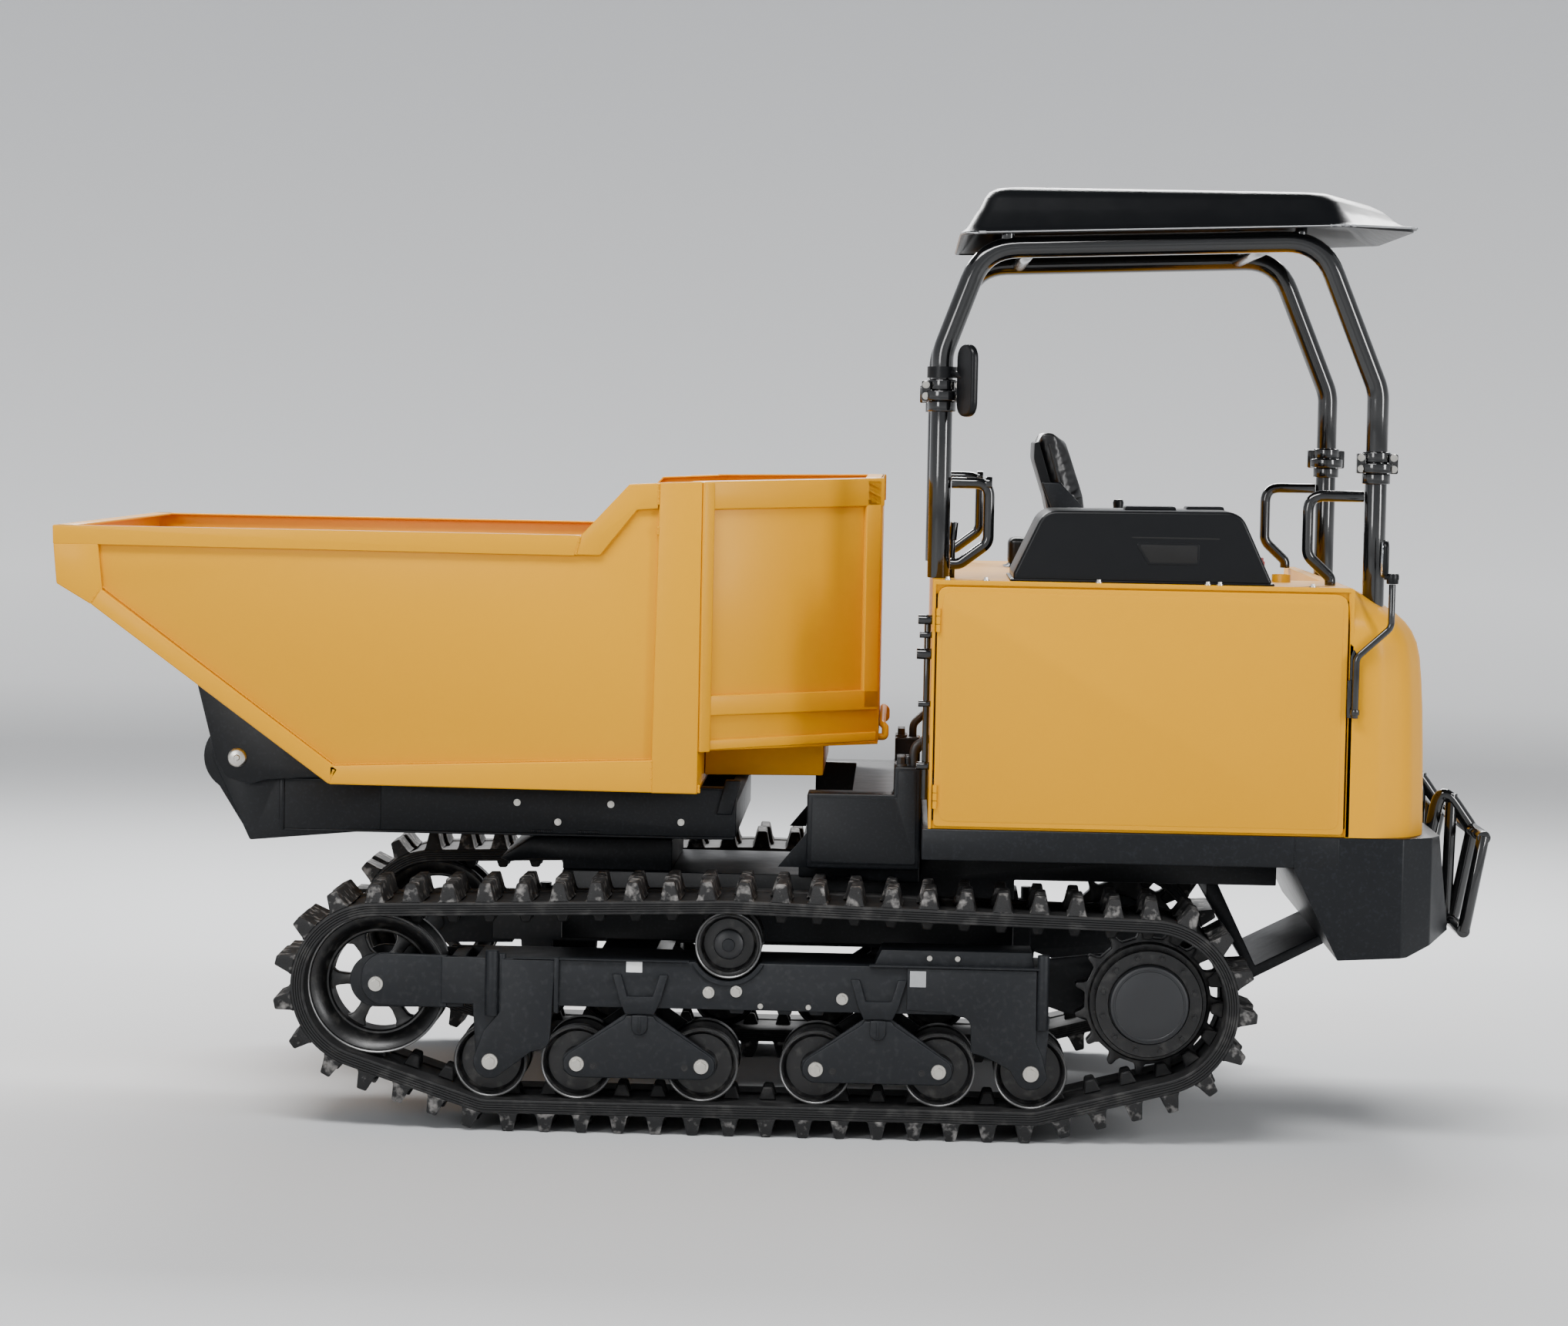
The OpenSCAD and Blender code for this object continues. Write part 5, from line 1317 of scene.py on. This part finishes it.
# ---------------------------------------------------------------- canopy roof
# One deep moulding in black polythene, with a turned-out rim, sloping sides, a rounded shoulder
# and chamfered front corners. Five screws hold it down.
roof_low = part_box("canopy_roof")[0]
half_plan = [(0.4425, roof_low.y + 0.001), (1.404, roof_low.y + 0.001),
             (1.606, roof_low.y + 0.260)]
roof_plan = rounded(half_plan + [(x, -y) for x, y in reversed(half_plan)],
                    [0.06, 0.09, 0.10, 0.10, 0.09, 0.06], 7)
centre_x = 0.98


def rim_height(x):
    return top - 0.130 + (x - 0.441) * 0.0365


def crown_height(x):
    return top - 0.004 - 1.000 * max(0.0, x - 1.340) ** 2 - 0.02 * max(0.0, 0.55 - x)


roof = bmesh.new()
steps_up = [(0.0, 0.0), (0.0, 0.06), (0.007, 0.10), (0.015, 0.16), (0.036, 0.42), (0.046, 0.52),
            (0.060, 0.74), (0.074, 0.88), (0.096, 0.965), (0.130, 1.0), (0.30, 1.0)]
ring = [roof.verts.new((x, y, rim_height(x))) for x, y in roof_plan]
line = [roof.edges.new((ring[i], ring[(i + 1) % len(ring)])) for i in range(len(ring))]
before = 0.0
for inset, share in steps_up:
    out = bmesh.ops.extrude_edge_only(roof, edges=line)
    moved = verts_of(out)
    held = set(moved)
    line = [g for g in out["geom"] if isinstance(g, bmesh.types.BMEdge)
            and all(v in held for v in g.verts)]
    shrink = [(1 - inset / r) / (1 - before / r) for r in (0.59, 0.69)]
    bmesh.ops.scale(roof, verts=moved, vec=(shrink[0], shrink[1], 1),
                    space=Matrix.Translation((-centre_x, 0, 0)))
    for v in moved:
        v.co.z = rim_height(v.co.x) + share * (crown_height(v.co.x) - rim_height(v.co.x))
    before = inset
bmesh.ops.holes_fill(roof, edges=line)
bmesh.ops.remove_doubles(roof, verts=roof.verts, dist=1e-5)
bmesh.ops.recalc_face_normals(roof, faces=roof.faces)
bmesh.ops.solidify(roof, geom=roof.faces[:], thickness=0.008)
place("roof_moulding", roof, "chassis", moulded, "black_plastic", ["canopy_roof"], 50)
# Painted highlight: the rim bead is light grey on the black moulding, standing for the bright line
# that light draws along the rim's edge.
lip = bmesh.new()
rim_path = [(x, y, rim_height(x) + 0.004) for x, y in roof_plan]
add(lip, round_bar([((x - centre_x) * 0.9995 + centre_x, y * 0.9985, z) for x, y, z in rim_path]
                   + [rim_path[0]], 0.0038, 0.0, 8, caps=False))
place("roof_rim_bead_highlight", lip, "chassis", grey_label_and_rim_highlight, "black_plastic")
screws = bmesh.new()
for x, y in ((0.735, -0.30), (1.145, -0.30), (1.315, -0.22), (0.735, 0.30), (1.145, 0.30)):
    for r, z0, z1, n in ((0.013, -0.002, 0.0012, 20), (0.009, 0.001, 0.0038, 6)):
        head = bmesh.new()
        bmesh.ops.create_cone(head, cap_ends=True, segments=n, radius1=r, radius2=r * 0.8,
                              depth=z1 - z0)
        bmesh.ops.translate(head, verts=head.verts,
                            vec=(x, y, crown_height(x) + (z0 + z1) / 2))
        add(screws, head)
place("roof_screws", screws, "chassis", hub_paint, "black_paint")

# ---------------------------------------------------------------- handles and lever
# Bent round bar, welded or bolted to the posts and the deck, in gloss black.
handles = round_bar([(0.431, post_y, 1.640), (0.526, post_y, 1.640), (0.526, post_y, 1.490),
                     (0.455, post_y, 1.436), (0.431, post_y, 1.436)], 0.014, 0.035, 24)
add(handles, round_bar([(0.516, post_y, 1.640), (0.533, post_y, 1.640)], 0.0165, steps=24))
add(handles, round_bar([(1.464, post_y, 1.625), (1.326, post_y, 1.625), (1.326, post_y, 1.475),
                        (1.385, post_y, 1.420), (1.385, post_y, 1.401)], 0.014, 0.040, 24))
add(handles, mirrored(handles.copy()))
place("grab_bars", handles, "chassis", gloss_black, "black_paint", ["grab_handles"], 40)
lever = round_bar([(0.437, -0.600, 1.398), (0.437, -0.600, 1.500)], 0.007)
add(lever, round_bar([(0.437, -0.600, 1.495), (0.441, -0.600, 1.540)], 0.010))
place("deck_lever", lever, "chassis", gloss_black, "black_paint")

# ---------------------------------------------------------------- front guard
# Two hairpins of 34 mm tube carry cross bars with closed ends, bent out ahead of the front box.
guard = round_bar([(1.690, -0.330, 0.745), (1.716, -0.330, 0.884), (1.7995, -0.330, 0.766),
                   (1.754, -0.330, 0.527), (1.706, -0.330, 0.535)], 0.017, 0.042, 28)
add(guard, round_bar([(1.7445, -0.330, 0.858), (1.737, -0.330, 0.532)], 0.0155, 0.0, 24))
add(guard, round_bar([(1.7990, -0.548, 0.770), (1.7545, -0.548, 0.524)], 0.0165, 0.0, 24))
add(guard, mirrored(guard.copy()))
for x, z in ((1.7993, 0.766), (1.7538, 0.527)):
    add(guard, round_bar([(x, -0.560, z), (x, 0.560, z)], 0.017, 0.0, 28))
place("guard_tubes", guard, "chassis", gloss_black, "black_paint", ["front_guard"], 40)

# ---------------------------------------------------------------- mirrors
# Convex glass in oval black shells; the rear one is clamped round its post and the front one
# turns on a bent arm that folds in.
glass = finish("mirror_glass", (0.60, 0.63, 0.66), (0.03, 0.06), metal=1.0)
low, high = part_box("mirror_rear")
shell_back = slab(rounded([(-0.042, 1.805), (0.042, 1.805), (0.042, 1.986), (-0.042, 1.986)],
                          0.041, 8), -0.010, 0.010, soft=0.008, steps=4)
bmesh.ops.rotate(shell_back, verts=shell_back.verts,
                 matrix=Matrix.Rotation(math.radians(-62), 3, "Z"))
bmesh.ops.translate(shell_back, verts=shell_back.verts, vec=(0.464, -0.712, 0))
clamp = bmesh.new()
bmesh.ops.create_cone(clamp, cap_ends=True, segments=40, radius1=0.038, radius2=0.038,
                      depth=0.028)
bmesh.ops.translate(clamp, verts=clamp.verts, vec=(0.402, post_y, 1.916))
add(shell_back, clamp)
add(shell_back, round_bar([(0.425, -0.662, 1.916), (0.462, -0.708, 1.900)], 0.008))
place("mirror_rear_shell", shell_back, "mirror_rear", moulded, "black_plastic", ["mirror_rear"])
pane = slab(rounded([(-0.036, 1.812), (0.036, 1.812), (0.036, 1.979), (-0.036, 1.979)], 0.035, 8),
            0.0085, 0.0112, soft=0.001)
bmesh.ops.rotate(pane, verts=pane.verts, matrix=Matrix.Rotation(math.radians(-62), 3, "Z"))
bmesh.ops.translate(pane, verts=pane.verts, vec=(0.464, -0.712, 0))
place("mirror_rear_glass", pane, "mirror_rear", glass, "bright_steel")

arm = round_bar([(1.439, -0.797, 1.078), (1.440, -0.797, 1.229), (1.523, -0.797, 1.305),
                 (1.523, -0.797, 1.412)], 0.0085, 0.03, 20)
add(arm, round_bar([(1.439, -0.797, 1.086), (1.439, -0.797, 1.100)], 0.0115))
place("mirror_arm_tube", arm, "mirror_arm", gloss_black, "black_paint", ["mirror_arm"], 40)
head = round_bar([(1.523, -0.797, 1.413), (1.523, -0.797, 1.439)], 0.015, steps=24)
add(head, round_bar([(1.502, -0.801, 1.430), (1.538, -0.801, 1.430)], 0.007))
turn_square = Matrix.Translation((1.504, -0.774, 0)) @ Matrix.Rotation(math.radians(90), 4, "Z")
oval = slab(rounded([(-0.043, 1.427), (0.043, 1.427), (0.043, 1.522), (-0.043, 1.522)], 0.030,
                    7), -0.0075, 0.0075, soft=0.006, steps=4)
bmesh.ops.transform(oval, verts=oval.verts, matrix=turn_square)
add(head, oval)
place("mirror_front_shell", head, "mirror_front", moulded, "black_plastic", ["mirror_front"])
pane = slab(rounded([(-0.038, 1.432), (0.038, 1.432), (0.038, 1.517), (-0.038, 1.517)], 0.027, 7),
            0.0066, 0.0082, soft=0.0006)
bmesh.ops.transform(pane, verts=pane.verts, matrix=turn_square)
place("mirror_front_glass", pane, "mirror_front", glass, "bright_steel")
